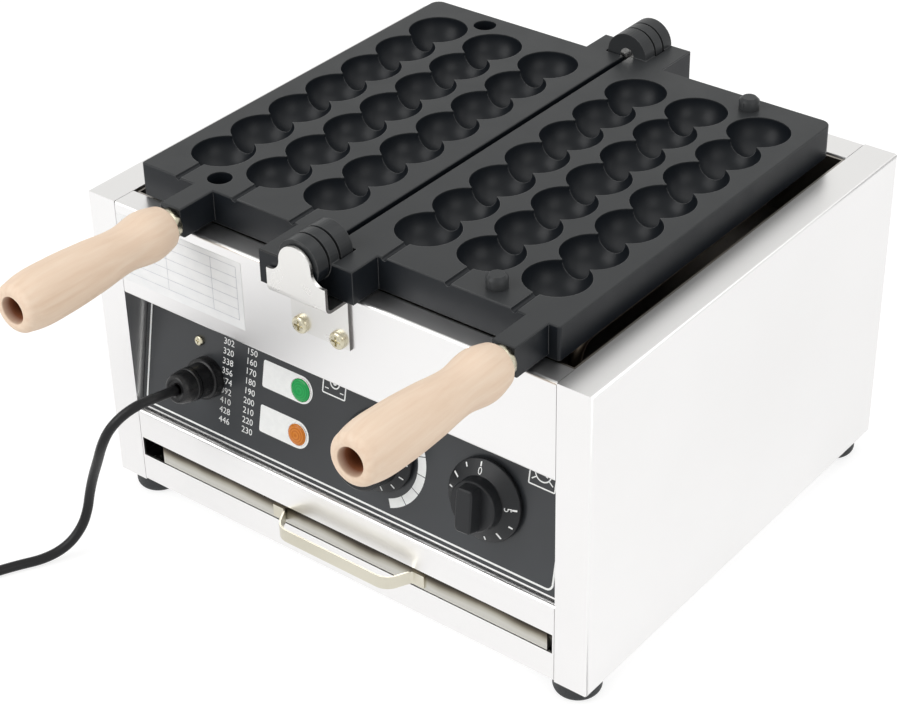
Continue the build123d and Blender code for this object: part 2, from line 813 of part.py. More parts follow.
        # Locating holes in the left plate, and seats of the locating pins in the right one
        for radius, depth in (
            ((locator_hole / 2, locator_hole_depth),)
            if hand < 0
            else ((locator_shank / 2 + locator_gap, locator_shank_length + seam),)
        ):
            with BuildSketch(level(plate_face)):
                with Locations((hand * locator_offset, front + plate_middle)):
                    with GridLocations(1, plate_depth - 2 * locator_edge, 1, 2):
                        Circle(radius)
            extrude(amount=-depth, mode=Mode.SUBTRACT)
    plate.part.label = f"plate_{side}"
    export_step(plate.part, f"parts/plate_{side}.step")

    # Turned handle on its rod: bored through, with a deep recess for the rod's head
    collar_face = lug_face.offset(collar_length)
    with BuildPart() as handle_collar:
        with BuildSketch(lug_face):
            Circle(collar_diameter / 2)
            Circle(rod_diameter / 2 + rod_gap, mode=Mode.SUBTRACT)
        extrude(amount=collar_length)
        chamfer(handle_collar.edges().filter_by(GeomType.CIRCLE).sort_by(SortBy.LENGTH)[-2:], seam)
    handle_collar.part.label = f"handle_collar_{side}"
    export_step(handle_collar.part, f"parts/handle_collar_{side}.step")

    half_profile = Plane(origin=collar_face.origin, x_dir=(1, 0, 0), z_dir=collar_face.y_dir * -1)
    with BuildPart() as handle:
        with BuildSketch(half_profile):
            with BuildLine():
                handle_side = Spline(
                    (handle_root_radius, 0),
                    (handle_shoulder_radius, handle_shoulder),
                    (handle_waist_radius, handle_waist),
                    (handle_swell_radius, handle_swell),
                    (handle_grip_radius, handle_grip),
                    (handle_end_radius, handle_end),
                    (handle_tip_radius, handle_length),
                )
                Polyline(
                    handle_side @ 1,
                    (handle_bore / 2, handle_length),
                    (handle_bore / 2, handle_length - handle_counterbore),
                    (rod_diameter / 2 + rod_gap, handle_length - handle_counterbore),
                    (rod_diameter / 2 + rod_gap, 0),
                    handle_side @ 0,
                )
            make_face()
        revolve(axis=Axis(collar_face.origin, collar_face.z_dir))
    handle.part.label = f"handle_{side}"
    export_step(handle.part, f"parts/handle_{side}.step")

    rod_seat = collar_face.offset(handle_length - handle_counterbore)
    with BuildPart() as handle_rod:
        with BuildSketch(rod_seat):
            Circle(rod_diameter / 2)
        extrude(amount=-(rod_grip + collar_length + handle_length - handle_counterbore))
        with BuildSketch(rod_seat):
            Circle(rod_head / 2)
        extrude(amount=rod_head_height)
        with BuildSketch(rod_seat.offset(rod_head_height)):
            RegularPolygon(rod_socket / 2, 6)
        extrude(amount=-rod_socket_depth, mode=Mode.SUBTRACT)
    handle_rod.part.label = f"handle_rod_{side}"
    export_step(handle_rod.part, f"parts/handle_rod_{side}.step")

# Locating pins in the right plate
with BuildPart() as locating_pins:
    for start, length, radius in (
        (plate_face - locator_shank_length, locator_shank_length, locator_shank / 2),
        (plate_face, locator_rise, locator_diameter / 2),
    ):
        with BuildSketch(level(start)):
            with Locations((locator_offset, front + plate_middle)):
                with GridLocations(1, plate_depth - 2 * locator_edge, 1, 2):
                    Circle(radius)
        extrude(amount=length)
    chamfer(locating_pins.faces().group_by(Axis.Z)[-1].edges(), locator_cone)
locating_pins.part.label = "locating_pins"
export_step(locating_pins.part, "parts/locating_pins.step")

# Timer and thermostat behind the panel, with the shafts that the knobs sit on
for name, knob_x, width, height, depth in (
    ("timer_body", timer_knob_x, timer_body_width, timer_body_height, timer_body_depth),
    (
        "thermostat_body",
        temperature_knob_x,
        thermostat_body_size,
        thermostat_body_size,
        thermostat_body_depth,
    ),
):
    with BuildPart() as control_body:
        with BuildSketch(on_panel(panel_back)):
            with Locations((knob_x, knob_height)):
                Rectangle(width, height)
        extrude(amount=-depth)
        with BuildSketch(on_panel(panel_back)):
            with Locations((knob_x, knob_height)):
                Circle(shaft_diameter / 2)
        extrude(amount=knob_standoff + knob_bore_depth - shaft_end_gap - panel_back)
    control_body.part.label = name
    export_step(control_body.part, f"parts/{name}.step")

# Thermostat bulb on the pan floor, and the thin tube that joins it to the thermostat
tube_start = on_panel(panel_back - thermostat_body_depth).from_local_coords((temperature_knob_x, knob_height))
tube_level = pan_floor + sheet + bulb_gap + bulb_diameter / 2
tube_points = [
    tube_start,
    tube_start - panel_face.z_dir * capillary_run,
    (0, bulb_hole_y, tube_start.Z + capillary_run),
    (0, bulb_hole_y, tube_level),
    (0, bulb_hole_y + capillary_run, tube_level),
]
with BuildPart() as thermostat_bulb:
    with BuildLine() as tube_line:
        FilletPolyline(*tube_points, radius=capillary_bend / 2)
    with BuildSketch(Plane(origin=tube_line.line @ 0, z_dir=tube_line.line % 0)):
        Circle(capillary_diameter / 2)
    sweep()
    with BuildSketch(Plane.XZ.offset(-(bulb_hole_y + capillary_run))):
        with Locations((0, tube_level)):
            Circle(bulb_diameter / 2)
    extrude(amount=-bulb_length)
thermostat_bulb.part.label = "thermostat_bulb"
export_step(thermostat_bulb.part, "parts/thermostat_bulb.step")

# Timer knob: a skirt with a round hub, and a grip bar that narrows to its top
with BuildPart() as knob_timer:
    for start, stop, radius in (
        (knob_standoff, knob_skirt_rise, knob_skirt_radius),
        (knob_skirt_rise, knob_hub_rise, knob_hub_radius),
    ):
        with BuildSketch(on_panel(start)):
            with Locations((timer_knob_x, knob_height)):
                Circle(radius)
        extrude(amount=stop - start)
    with BuildSketch(on_panel(knob_skirt_rise)):
        with Locations((timer_knob_x, knob_height)):
            Rectangle(2 * grip_base_half_width, 2 * grip_half_length)
    with BuildSketch(on_panel(knob_rise)):
        with Locations((timer_knob_x, knob_height)):
            Rectangle(2 * grip_half_width, 2 * grip_half_length)
    loft()
    grip_top = knob_timer.faces().sort_by(Axis(panel_face.origin, panel_face.z_dir))[-1]
    fillet(grip_top.edges(), knob_edge_round)
    with BuildSketch(on_panel(knob_standoff)):
        with Locations((timer_knob_x, knob_height)):
            Circle(shaft_diameter / 2 + knob_bore_gap)
    extrude(amount=knob_bore_depth, mode=Mode.SUBTRACT)
knob_timer.part.label = "knob_timer"
export_step(knob_timer.part, "parts/knob_timer.step")

# Temperature knob: the same skirt, with a round grip
with BuildPart() as knob_temperature:
    for start, stop, radius in (
        (knob_standoff, knob_skirt_rise, knob_skirt_radius),
        (knob_skirt_rise, knob_rise, round_grip_radius),
    ):
        with BuildSketch(on_panel(start)):
            with Locations((temperature_knob_x, knob_height)):
                Circle(radius)
        extrude(amount=stop - start)
    grip_top = knob_temperature.faces().sort_by(Axis(panel_face.origin, panel_face.z_dir))[-1]
    fillet(grip_top.edges(), knob_edge_round)
    with BuildSketch(on_panel(knob_standoff)):
        with Locations((temperature_knob_x, knob_height)):
            Circle(shaft_diameter / 2 + knob_bore_gap)
    extrude(amount=knob_bore_depth, mode=Mode.SUBTRACT)
knob_temperature.part.label = "knob_temperature"
export_step(knob_temperature.part, "parts/knob_temperature.step")

# Signal lamps: a domed lens on the label and a body behind it
for colour, row, lamp_y, lens_diameter in (
    ("green", "upper", lamp_upper, green_lens_diameter),
    ("amber", "lower", lamp_lower, amber_lens_diameter),
):
    with BuildPart() as lamp_lens:
        with BuildSketch(on_panel(0)):
            with Locations((lamp_x, lamp_y)):
                Circle(lens_diameter / 2)
        extrude(amount=lamp_dome)
        lens_top = lamp_lens.faces().sort_by(Axis(panel_face.origin, panel_face.z_dir))[-1]
        fillet(lens_top.edges(), lamp_lens_round)
    lamp_lens.part.label = f"lamp_lens_{colour}"
    export_step(lamp_lens.part, f"parts/lamp_lens_{colour}.step")
    with BuildPart() as lamp_body:
        with BuildSketch(on_panel(0)):
            with Locations((lamp_x, lamp_y)):
                Circle(lamp_body_diameter / 2)
        extrude(amount=-lamp_body_length)
    lamp_body.part.label = f"lamp_body_{row}"
    export_step(lamp_body.part, f"parts/lamp_body_{row}.step")

# Screw of the control panel
with BuildPart() as panel_screw:
    with BuildSketch(on_panel(0)):
        with Locations((panel_screw_x, panel_screw_height)):
            Circle(panel_screw_head / 2)
    extrude(amount=panel_screw_head_height)
    screw_top = panel_screw.faces().sort_by(Axis(panel_face.origin, panel_face.z_dir))[-1]
    fillet(screw_top.edges(), panel_screw_head_height / 2)
    with BuildSketch(on_panel(0)):
        with Locations((panel_screw_x, panel_screw_height)):
            Circle(panel_screw_shank / 2)
    extrude(amount=-panel_screw_length)
    with BuildSketch(on_panel(panel_screw_head_height)):
        with Locations((panel_screw_x, panel_screw_height)):
            Rectangle(cross_length * cross_scale, cross_width * cross_scale)
            Rectangle(cross_width * cross_scale, cross_length * cross_scale)
    extrude(amount=-cross_depth * cross_scale, mode=Mode.SUBTRACT)
panel_screw.part.label = "panel_screw"
export_step(panel_screw.part, "parts/panel_screw.step")

# Mains terminals on the wiring shelf
with BuildPart() as terminal_block:
    with BuildSketch(level(shelf_top)):
        with Locations((gland_x, front + terminal_setback)):
            Rectangle(terminal_length, terminal_width)
    extrude(amount=terminal_height)
    with BuildSketch(level(shelf_top + terminal_height)):
        with Locations((gland_x, front + terminal_setback)):
            with GridLocations(terminal_pitch, 1, 3, 1):
                Circle(terminal_bore / 2)
    extrude(amount=-terminal_bore_depth, mode=Mode.SUBTRACT)
terminal_block.part.label = "terminal_block"
export_step(terminal_block.part, "parts/terminal_block.step")

# Cord gland in the panel: flange, neck and threaded stub with its locknut, and the cap nut
with BuildPart() as gland_body:
    for start, stop, diameter in (
        (0, gland_base_length, gland_base_diameter),
        (gland_base_length, gland_length - gland_nut_length, gland_neck_diameter),
        (-gland_thread_length, 0, gland_thread),
        (panel_back - gland_locknut_thickness, panel_back, gland_locknut),
    ):
        with BuildSketch(on_panel(start)):
            with Locations((gland_x, gland_height)):
                Circle(diameter / 2)
        extrude(amount=stop - start)
gland_body.part.label = "gland_body"
export_step(gland_body.part, "parts/gland_body.step")

with BuildPart() as gland_nut:
    for start, diameter in (
        (gland_length - gland_nut_length, gland_neck_diameter),
        (gland_length, gland_nut_diameter),
    ):
        with BuildSketch(on_panel(start)):
            with Locations((gland_x, gland_height)):
                Circle(diameter / 2)
    loft()
    nut_mouth = gland_nut.faces().sort_by(Axis(panel_face.origin, panel_face.z_dir))[-1]
    fillet(nut_mouth.edges(), knob_edge_round)
gland_nut.part.label = "gland_nut"
export_step(gland_nut.part, "parts/gland_nut.step")

# Mains lead. Its route, out of the gland, down to the table and along it: x, distance
# behind the case front, and height above the table
cord_route = [
    (-113.5, -37.0, 119.5),
    (-118.0, -46.0, 117.5),
    (-123.0, -54.5, 112.0),
    (-128.0, -60.5, 103.5),
    (-132.5, -63.5, 92.0),
    (-139.5, -62.0, 77.0),
    (-148.0, -60.0, 60.5),
    (-153.5, -60.0, 45.0),
    (-155.5, -62.0, 31.0),
    (-157.5, -67.0, 19.0),
    (-161.5, -77.0, 8.5),
    (-168.5, -91.0, 3.4),
    (-178.5, -107.0, 3.4),
    (-188.0, -126.5, 3.4),
    (-196.0, -147.0, 3.4),
    (-202.0, -168.0, 3.4),
]
cord_points = [
    on_panel(rise).from_local_coords((gland_x, gland_height))
    for rise in (gland_length, gland_length + cord_exit_run)
]
cord_points += [Vector(x, front + depth, height) for x, depth, height in cord_route]
cord_runs = [after - before for before, after in zip(cord_points, cord_points[1:])]
cord_radii = []
for run, next_run in zip(cord_runs, cord_runs[1:]):
    half_turn = radians(run.get_angle(next_run)) / 2
    cord_radii.append(0.45 * min(run.length, next_run.length) / tan(half_turn))
print("cord runs", [round(run.length, 1) for run in cord_runs])
print("cord radii", [round(radius, 1) for radius in cord_radii])

with BuildPart() as cord_free:
    with BuildLine() as cord_line:
        FilletPolyline(*cord_points, radius=cord_radii)
    with BuildSketch(Plane(origin=cord_line.line @ 0, z_dir=cord_line.line % 0)):
        Circle(cord_diameter / 2)
    sweep()
cord_section = pi * cord_diameter**2 / 4
free_length = cord_line.wire().length
print("cord_free length", round(free_length, 1))
print("cord_free volume ratio", cord_free.part.volume / (cord_section * free_length))
cord_free.part.label = "cord_free"
export_step(cord_free.part, "parts/cord_free.step")

# The rest of the lead, wound in two layers of half circles: inwards along the table, up to
# the second layer in the half circle at the middle, and outwards again on top
heading = cord_runs[-1].normalized()
sideways = Vector(heading.Y, -heading.X, 0)
layer_rise = cord_diameter + cord_gap
half_pitch = layer_rise / 2
inward_radii = [coil_radius - turn * half_pitch for turn in range(coil_inner_turns)]
climb_radius = inward_radii[-1] - half_pitch
outward_radii = [inward_radii[-1] + turn * half_pitch for turn in range(coil_outer_turns)]
climb_angle = asin(layer_rise / (2 * climb_radius))
coil_start = cord_points[-1]
here = coil_start + heading * cord_diameter
coil_arcs = []
for turn, radius in enumerate(inward_radii + [climb_radius] + outward_radii):
    forward = heading * (1 if turn % 2 == 0 else -1)
    across_turn = sideways * (1 if turn % 2 == 0 else -1)
    if turn == coil_inner_turns:
        across_turn = across_turn * cos(climb_angle) + Vector(0, 0, sin(climb_angle))
    middle = here + (across_turn + forward) * radius
    far = here + across_turn * (2 * radius)
    coil_arcs.append((here, middle, far))
    here = far
coil_end = here + forward * -coil_tail
with BuildPart() as cord_coil:
    with BuildLine() as coil_line:
        Line(coil_start, coil_arcs[0][0])
        for arc_points in coil_arcs:
            ThreePointArc(*arc_points)
        Line(coil_arcs[-1][2], coil_end)
    with BuildSketch(Plane(origin=coil_line.line @ 0, z_dir=coil_line.line % 0)):
        Circle(cord_diameter / 2)
    sweep()
coil_wire = coil_line.wire()
coil_length = coil_wire.length
print("cord_coil length", round(coil_length, 1))
print("cord_coil volume ratio", cord_coil.part.volume / (cord_section * coil_length))
print("whole cord", round(free_length + coil_length, 1))

# Least gap of the coil to itself, on points a millimetre apart, a turn or more away
steps = int(coil_length)
coil_samples = [coil_wire @ (step / steps) for step in range(steps + 1)]
apart = int(pi * climb_radius)
least = min(
    (coil_samples[a] - coil_samples[b]).length
    for a in range(0, steps + 1)
    for b in range(a + apart, steps + 1)
)
print("cord_coil least gap", round(least - cord_diameter, 3))
cord_coil.part.label = "cord_coil"
export_step(cord_coil.part, "parts/cord_coil.step")

# Plug on the table beside the coil, at the height of the upper layer
plug_plane = Plane(origin=coil_end, x_dir=sideways, z_dir=heading)
plug_height = 2 * coil_end.Z
with BuildPart() as plug:
    with BuildSketch(plug_plane):
        Circle(plug_neck_diameter / 2)
    extrude(amount=plug_neck_length)
    with BuildSketch(plug_plane.offset(plug_neck_length)):
        RectangleRounded(plug_width, plug_height, plug_round)
    extrude(amount=plug_length)
    with BuildSketch(plug_plane.offset(plug_neck_length + plug_length)):
        with GridLocations(plug_pin_spacing, 1, 2, 1):
            Circle(plug_pin_diameter / 2)
    extrude(amount=plug_pin_length)
plug.part.label = "plug"
export_step(plug.part, "parts/plug.step")

# Drip tray, its pull of bent strip, and the runners that carry it. The feet of the runners
# are turned in, clear of the foot screws
tray_bottom = slot_bottom + tray_play
tray_top = slot_top - tray_play
tray_front = front + tray_recess
with BuildPart() as drip_tray:
    with BuildSketch(level(tray_bottom)):
        rectangle(tray_left, tray_front, tray_right, tray_front + tray_depth)
    extrude(amount=tray_top - tray_bottom)
    offset(amount=-tray_wall, openings=drip_tray.faces().sort_by(Axis.Z)[-1])
drip_tray.part.label = "drip_tray"
export_step(drip_tray.part, "parts/drip_tray.step")

pull_bottom = (slot_top + slot_bottom - tray_handle_height) / 2
pull_left = tray_handle_x - tray_handle_width / 2
pull_right = tray_handle_x + tray_handle_width / 2
tab_y = tray_front - tray_handle_sheet
pull_y = tray_front - tray_handle_depth
pull_section = folded(
    level(pull_bottom),
    [
        (pull_left - tray_handle_tab, tab_y),
        (pull_left, tab_y),
        (pull_left + tray_handle_slant, pull_y),
        (pull_right - tray_handle_slant, pull_y),
        (pull_right, tab_y),
        (pull_right + tray_handle_tab, tab_y),
    ],
    tray_handle_sheet,
    [bend_radius, tray_handle_bend, tray_handle_bend, bend_radius],
)
with BuildPart() as tray_handle:
    extrude(pull_section, amount=tray_handle_height)
tray_handle.part.label = "tray_handle"
export_step(tray_handle.part, "parts/tray_handle.step")

rest_z = tray_bottom - runner_gap
for side, hand, tray_edge in (("left", -1, tray_left), ("right", 1, tray_right)):
    wall_x = hand * tray_edge + tray_play
    foot_x = wall_x + sheet - runner_foot
    with BuildPart() as tray_runner:
        with BuildSketch(behind(runner_setback)):
            for inner, outer, low, high in (
                (foot_x, foot_x + runner_foot, base_top, base_top + sheet),
                (wall_x, wall_x + sheet, base_top, slot_top),
                (wall_x - runner_width, wall_x + sheet, rest_z - sheet, rest_z),
            ):
                rectangle(min(hand * inner, hand * outer), low, max(hand * inner, hand * outer), high)
        extrude(amount=-tray_depth)
    tray_runner.part.label = f"tray_runner_{side}"
    export_step(tray_runner.part, f"parts/tray_runner_{side}.step")
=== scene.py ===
"""Bubble waffle maker: the finishes, printing and small shapes of two hinged cast plates on a
folded steel case. Metres, +X right, +Y back, +Z up, on the table at z = 0.
"""

import bmesh
import bpy
import json
import numpy as np
from math import asin, cos, pi, radians, sin
from mathutils import Matrix, Vector

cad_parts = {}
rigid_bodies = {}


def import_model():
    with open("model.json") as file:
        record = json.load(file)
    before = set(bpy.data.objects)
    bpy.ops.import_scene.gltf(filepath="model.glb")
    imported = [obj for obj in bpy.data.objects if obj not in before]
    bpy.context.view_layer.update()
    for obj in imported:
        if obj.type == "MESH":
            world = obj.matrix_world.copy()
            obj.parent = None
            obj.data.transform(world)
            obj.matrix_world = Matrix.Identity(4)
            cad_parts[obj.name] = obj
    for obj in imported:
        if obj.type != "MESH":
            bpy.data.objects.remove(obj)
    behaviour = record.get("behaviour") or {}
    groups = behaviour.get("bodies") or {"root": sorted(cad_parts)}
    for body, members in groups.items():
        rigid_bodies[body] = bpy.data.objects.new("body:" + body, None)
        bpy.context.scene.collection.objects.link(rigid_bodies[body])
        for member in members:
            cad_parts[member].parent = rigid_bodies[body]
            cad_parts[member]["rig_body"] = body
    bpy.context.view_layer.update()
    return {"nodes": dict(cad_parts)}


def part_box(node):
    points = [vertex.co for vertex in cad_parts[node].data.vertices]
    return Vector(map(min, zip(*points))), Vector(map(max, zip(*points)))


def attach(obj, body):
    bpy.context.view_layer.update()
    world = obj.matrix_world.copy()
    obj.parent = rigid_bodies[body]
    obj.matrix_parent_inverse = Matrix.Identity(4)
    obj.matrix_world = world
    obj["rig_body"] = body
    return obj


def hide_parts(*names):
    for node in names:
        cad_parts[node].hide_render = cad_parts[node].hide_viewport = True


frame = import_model()

# Case sheets: folded pieces of stainless steel, 1.5 mm thick, bent on a press and screwed
# together at the rear seams. The polish is satin, and mirrors only broad tones.
mm = 0.001
panel_lean = radians(11.1)
square_ways = np.array((
    (1, 0, 0), (0, 1, 0), (0, 0, 1),
    (0, -cos(panel_lean), sin(panel_lean)), (0, sin(panel_lean), cos(panel_lean)),
))


def finish(name, colour, roughness, metallic=0.0, **sockets):
    """Material of one Principled shader with its constants on the shader's own sockets."""
    made = bpy.data.materials.new(name)
    made.use_nodes = True
    values = {"Base Color": (*colour, 1.0), "Roughness": roughness, "Metallic": metallic}
    values.update({socket.replace("_", " "): value for socket, value in sockets.items()})
    for socket, value in values.items():
        made.node_tree.nodes["Principled BSDF"].inputs[socket].default_value = value
    return made


def add(made, kind, inputs, **settings):
    """One more node: its inputs are values or the outputs of other nodes."""
    node = made.node_tree.nodes.new(kind)
    for key, value in settings.items():
        setattr(node, key, value)
    for key, value in inputs.items():
        if isinstance(value, bpy.types.NodeSocket):
            made.node_tree.links.new(value, node.inputs[key])
        else:
            node.inputs[key].default_value = value
    return node


def drive(made, socket, output):
    """Leads a node's output into a socket of the shader."""
    made.node_tree.links.new(output, made.node_tree.nodes["Principled BSDF"].inputs[socket])


def clouds(made, scale, detail=3.0):
    """Noise in object coordinates, stretched: the scale is cells per metre along x, y and z."""
    place = add(made, "ShaderNodeTexCoord", {})
    stretched = add(made, "ShaderNodeMapping", {"Vector": place.outputs["Object"], "Scale": scale})
    return add(
        made, "ShaderNodeTexNoise", {"Vector": stretched.outputs["Vector"], "Scale": 1.0, "Detail": detail}
    ).outputs["Fac"]


def spread(made, factor, low, high, start=0.3, stop=0.7):
    """Straight line from low at the factor's start to high at its stop, clamped."""
    return add(
        made,
        "ShaderNodeMapRange",
        {"Value": factor, "From Min": start, "From Max": stop, "To Min": low, "To Max": high},
    ).outputs["Result"]


def tones(made, factor, *stops):
    """Colour ramp through the stops, each a place from 0 to 1 and a colour."""
    ramp = add(made, "ShaderNodeValToRGB", {"Fac": factor})
    elements = ramp.color_ramp.elements
    for place, colour in stops[2:]:
        elements.new(place)
    for element, (place, colour) in zip(elements, sorted(stops)):
        element.position = place
        element.color = (*colour, 1.0)
    return ramp.outputs["Color"]


def mottle(made, scale, *stops):
    """Base colour that wanders through the tones with noise, its scale in cells per metre."""
    drive(made, "Base Color", tones(made, clouds(made, (scale, scale, scale)), *stops))


def sheet_steel(name, colour, dark, roughness, grain):
    """Steel sheet: slow clouds of tone, and faint grain that varies the gloss."""
    made = finish(name, colour, roughness, metallic=1.0)
    mottle(made, 6.0, (0.3, dark), (0.7, colour))
    drive(made, "Roughness", spread(made, clouds(made, grain), roughness * 0.95, roughness * 1.06))
    return made


def dress(made, *names):
    """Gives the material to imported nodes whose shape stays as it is."""
    for name in names:
        for place in frame["nodes"][name].material_slots:
            place.material = made


def finished(made, *names, corner=30.0):
    """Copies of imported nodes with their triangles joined: faces square to X, Y, Z or the panel
    stay flat, round ones are smooth, and corners sharp."""
    pieces = []
    for name in names:
        source = frame["nodes"][name]
        mesh = source.data.copy()
        joined = bmesh.new()
        joined.from_mesh(mesh)
        bmesh.ops.remove_doubles(joined, verts=joined.verts, dist=0.005 * mm)
        joined.to_mesh(mesh)
        joined.free()
        mesh.shade_smooth()
        mesh.set_sharp_from_angle(angle=radians(corner))
        normals = np.empty(len(mesh.polygons) * 3, np.float32)
        mesh.polygons.foreach_get("normal", normals)
        along = np.abs(normals.reshape(-1, 3) @ square_ways.T).max(axis=1)
        mesh.polygons.foreach_set("use_smooth", along < 0.99999)
        mesh.materials.clear()
        mesh.materials.append(made)
        piece = bpy.data.objects.new(f"{name}_finished", mesh)
        bpy.context.scene.collection.objects.link(piece)
        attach(piece, source["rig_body"])
        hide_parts(name)
        pieces.append(piece)
    return pieces


polished = sheet_steel("polished_steel", (0.865, 0.857, 0.855), (0.84, 0.832, 0.828), 0.30, (8, 8, 900))
finished(polished, "side_panel_left", "side_panel_right", "front_apron", "rear_panel", "lower_frame")
dress(polished, "control_panel")

# Hidden sheets and drip tray: base, wiring shelf, straps and runners of plain galvanised sheet,
# a tray painted dark along its rim as painted shade and a painted brown reflection under the
# slot's edge, its pull of zinc-plated strip, and a pan tinted by heat.
plain = sheet_steel("plain_sheet", (0.60, 0.60, 0.585), (0.46, 0.46, 0.45), 0.34, (14, 300, 14))
dress(plain, "base_plate", "wiring_shelf", "corner_straps")
dress(plain, "tray_runner_left", "tray_runner_right")
rim_shaded_tray = sheet_steel("rim_shaded_sheet", (0.56, 0.55, 0.51), (0.48, 0.47, 0.43), 0.36, (14, 300, 14))
tray_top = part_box("drip_tray")[1].z
shade_start, shade_full, shade_waver = 9.0 * mm, 1.5 * mm, 1.2 * mm


def table_height(made):
    """Height of each point over the table, in metres."""
    place = add(made, "ShaderNodeTexCoord", {})
    return add(made, "ShaderNodeSeparateXYZ", {"Vector": place.outputs["Object"]}).outputs["Z"]


# Painted shade and a painted brown reflection: the tray darkens towards its top rim, where it meets the
# slot.
waver = spread(rim_shaded_tray, clouds(rim_shaded_tray, (26, 26, 26)), -shade_waver, shade_waver)
uneven = add(rim_shaded_tray, "ShaderNodeMath", {0: table_height(rim_shaded_tray), 1: waver}, operation="ADD")
rim_shade = spread(
    rim_shaded_tray, uneven.outputs["Value"], 0.0, 1.0, tray_top - shade_start, tray_top - shade_full
)
rim_shade_tones = tones(
    rim_shaded_tray, rim_shade, (0.0, (0.56, 0.55, 0.51)), (1.0, (0.040, 0.033, 0.025)),
    (0.35, (0.42, 0.40, 0.34)), (0.7, (0.15, 0.13, 0.10)),
)
drive(rim_shaded_tray, "Base Color", rim_shade_tones)
dress(rim_shaded_tray, "drip_tray")
pull = sheet_steel("pull_sheet", (0.68, 0.65, 0.55), (0.54, 0.51, 0.42), 0.32, (60, 60, 60))
finished(pull, "tray_handle")
tinted = sheet_steel("heat_tinted_sheet", (0.42, 0.40, 0.37), (0.25, 0.22, 0.19), 0.38, (20, 20, 20))
finished(tinted, "heat_tray")

# Tube heaters: steel tubes bent to four legs under each plate, brown and blue from their heat,
# with a slightly pitted skin.


def relief(made, height, distance, strength=1.0, normal=None):
    """Bump whose full height is the distance in metres."""
    inputs = {"Height": height, "Distance": distance, "Strength": strength}
    if normal is not None:
        inputs["Normal"] = normal
    drive(made, "Normal", add(made, "ShaderNodeBump", inputs).outputs["Normal"])


tube = finish("heater_tube", (0.24, 0.20, 0.17), 0.42, metallic=1.0)
mottle(tube, 30, (0.3, (0.10, 0.085, 0.08)), (0.5, (0.24, 0.19, 0.14)), (0.7, (0.2, 0.2, 0.23)))
relief(tube, clouds(tube, (900, 900, 900)), 0.03 * mm)
finished(tube, "heater_left", "heater_right")

# Feet: four moulded rubber buffers, matt and slightly gritty, with a screw up through each
# into the base.
rubber = finish("foot_rubber", (0.022, 0.024, 0.026), 0.62)
grit = clouds(rubber, (1400, 1400, 1400))
drive(rubber, "Roughness", spread(rubber, grit, 0.5, 0.75))
relief(rubber, grit, 0.04 * mm)
finished(rubber, *[f"foot_{end}_{side}" for end in ("front", "rear") for side in ("left", "right")])

# Fasteners, pins and brackets: bright steel for pins and case screws, yellowish zinc for the
# cross-recess screws and the collars, and brighter sheet for the bent hinge brackets.
bright = finish("bright_steel", (0.80, 0.79, 0.77), 0.22, metallic=1.0)
turning = clouds(bright, (700, 60, 700))
drive(bright, "Roughness", spread(bright, turning, 0.16, 0.34))
relief(bright, turning, 0.01 * mm, 0.4)
finished(bright, "hinge_pin_front", "hinge_pin_rear", "case_screws", "foot_screws")
finished(bright, "handle_rod_left", "handle_rod_right", "thermostat_bulb")

zinc = finish("zinc_plate", (0.62, 0.58, 0.45), 0.26, metallic=1.0)
bloom = clouds(zinc, (260, 260, 260))
drive(zinc, "Base Color", tones(zinc, bloom, (0.3, (0.52, 0.48, 0.35)), (0.7, (0.70, 0.66, 0.53))))
drive(zinc, "Roughness", spread(zinc, bloom, 0.2, 0.38))
finished(zinc, "bracket_screws", "panel_screw", "handle_collar_left", "handle_collar_right")

bracket = sheet_steel("bracket_steel", (0.83, 0.82, 0.80), (0.78, 0.77, 0.75), 0.28, (60, 60, 60))
# The brackets' side faces, square to X, get a dark steel as painted shade.
side_shade_steel = finish("painted_shade_side", (0.16, 0.155, 0.15), 0.45, metallic=1.0)
drive(side_shade_steel, "Roughness", spread(side_shade_steel, clouds(side_shade_steel, (90, 900, 90)), 0.35, 0.6))
for piece in finished(bracket, "hinge_bracket_front", "hinge_bracket_rear"):
    piece.data.materials.append(side_shade_steel)
    normals = np.empty(len(piece.data.polygons) * 3, np.float32)
    piece.data.polygons.foreach_get("normal", normals)
    shaded_side_faces = np.abs(normals.reshape(-1, 3)[:, 0]) > 0.99
    piece.data.polygons.foreach_set("material_index", shaded_side_faces.astype(np.int32))

# Baking plates: cast and given a dark satin coating, with three rows of seven half-round
# hollows, knuckles for the hinge and a lug for the handle. Corners and ridges are painted paler,
# partly as worn coating and partly as a painted highlight. The top face is painted lighter, and
# the sides and hollows darker, as painted light and shade from above.
coating = finish("plate_coating", (0.018, 0.020, 0.024), 0.36, Specular_IOR_Level=0.22)
edge_round = 0.7 * mm
top_light_start, top_light_full = 1.2 * mm, 0.2 * mm
locating_pin_height = 8.0
pores = clouds(coating, (1500, 1500, 1500), 2.0)
rounded_edge = add(coating, "ShaderNodeBevel", {"Radius": edge_round}, samples=6)
plain_normal = add(coating, "ShaderNodeNewGeometry", {})
turned = add(
    coating,
    "ShaderNodeVectorMath",
    {0: rounded_edge.outputs["Normal"], 1: plain_normal.outputs["Normal"]},
    operation="DOT_PRODUCT",
)
# Corners and ridges are painted paler: partly worn coating, partly a painted highlight.
edge = spread(coating, turned.outputs["Value"], 1.0, 0.0, 0.72, 0.985)
face_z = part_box("locating_pins")[1].z - locating_pin_height * mm
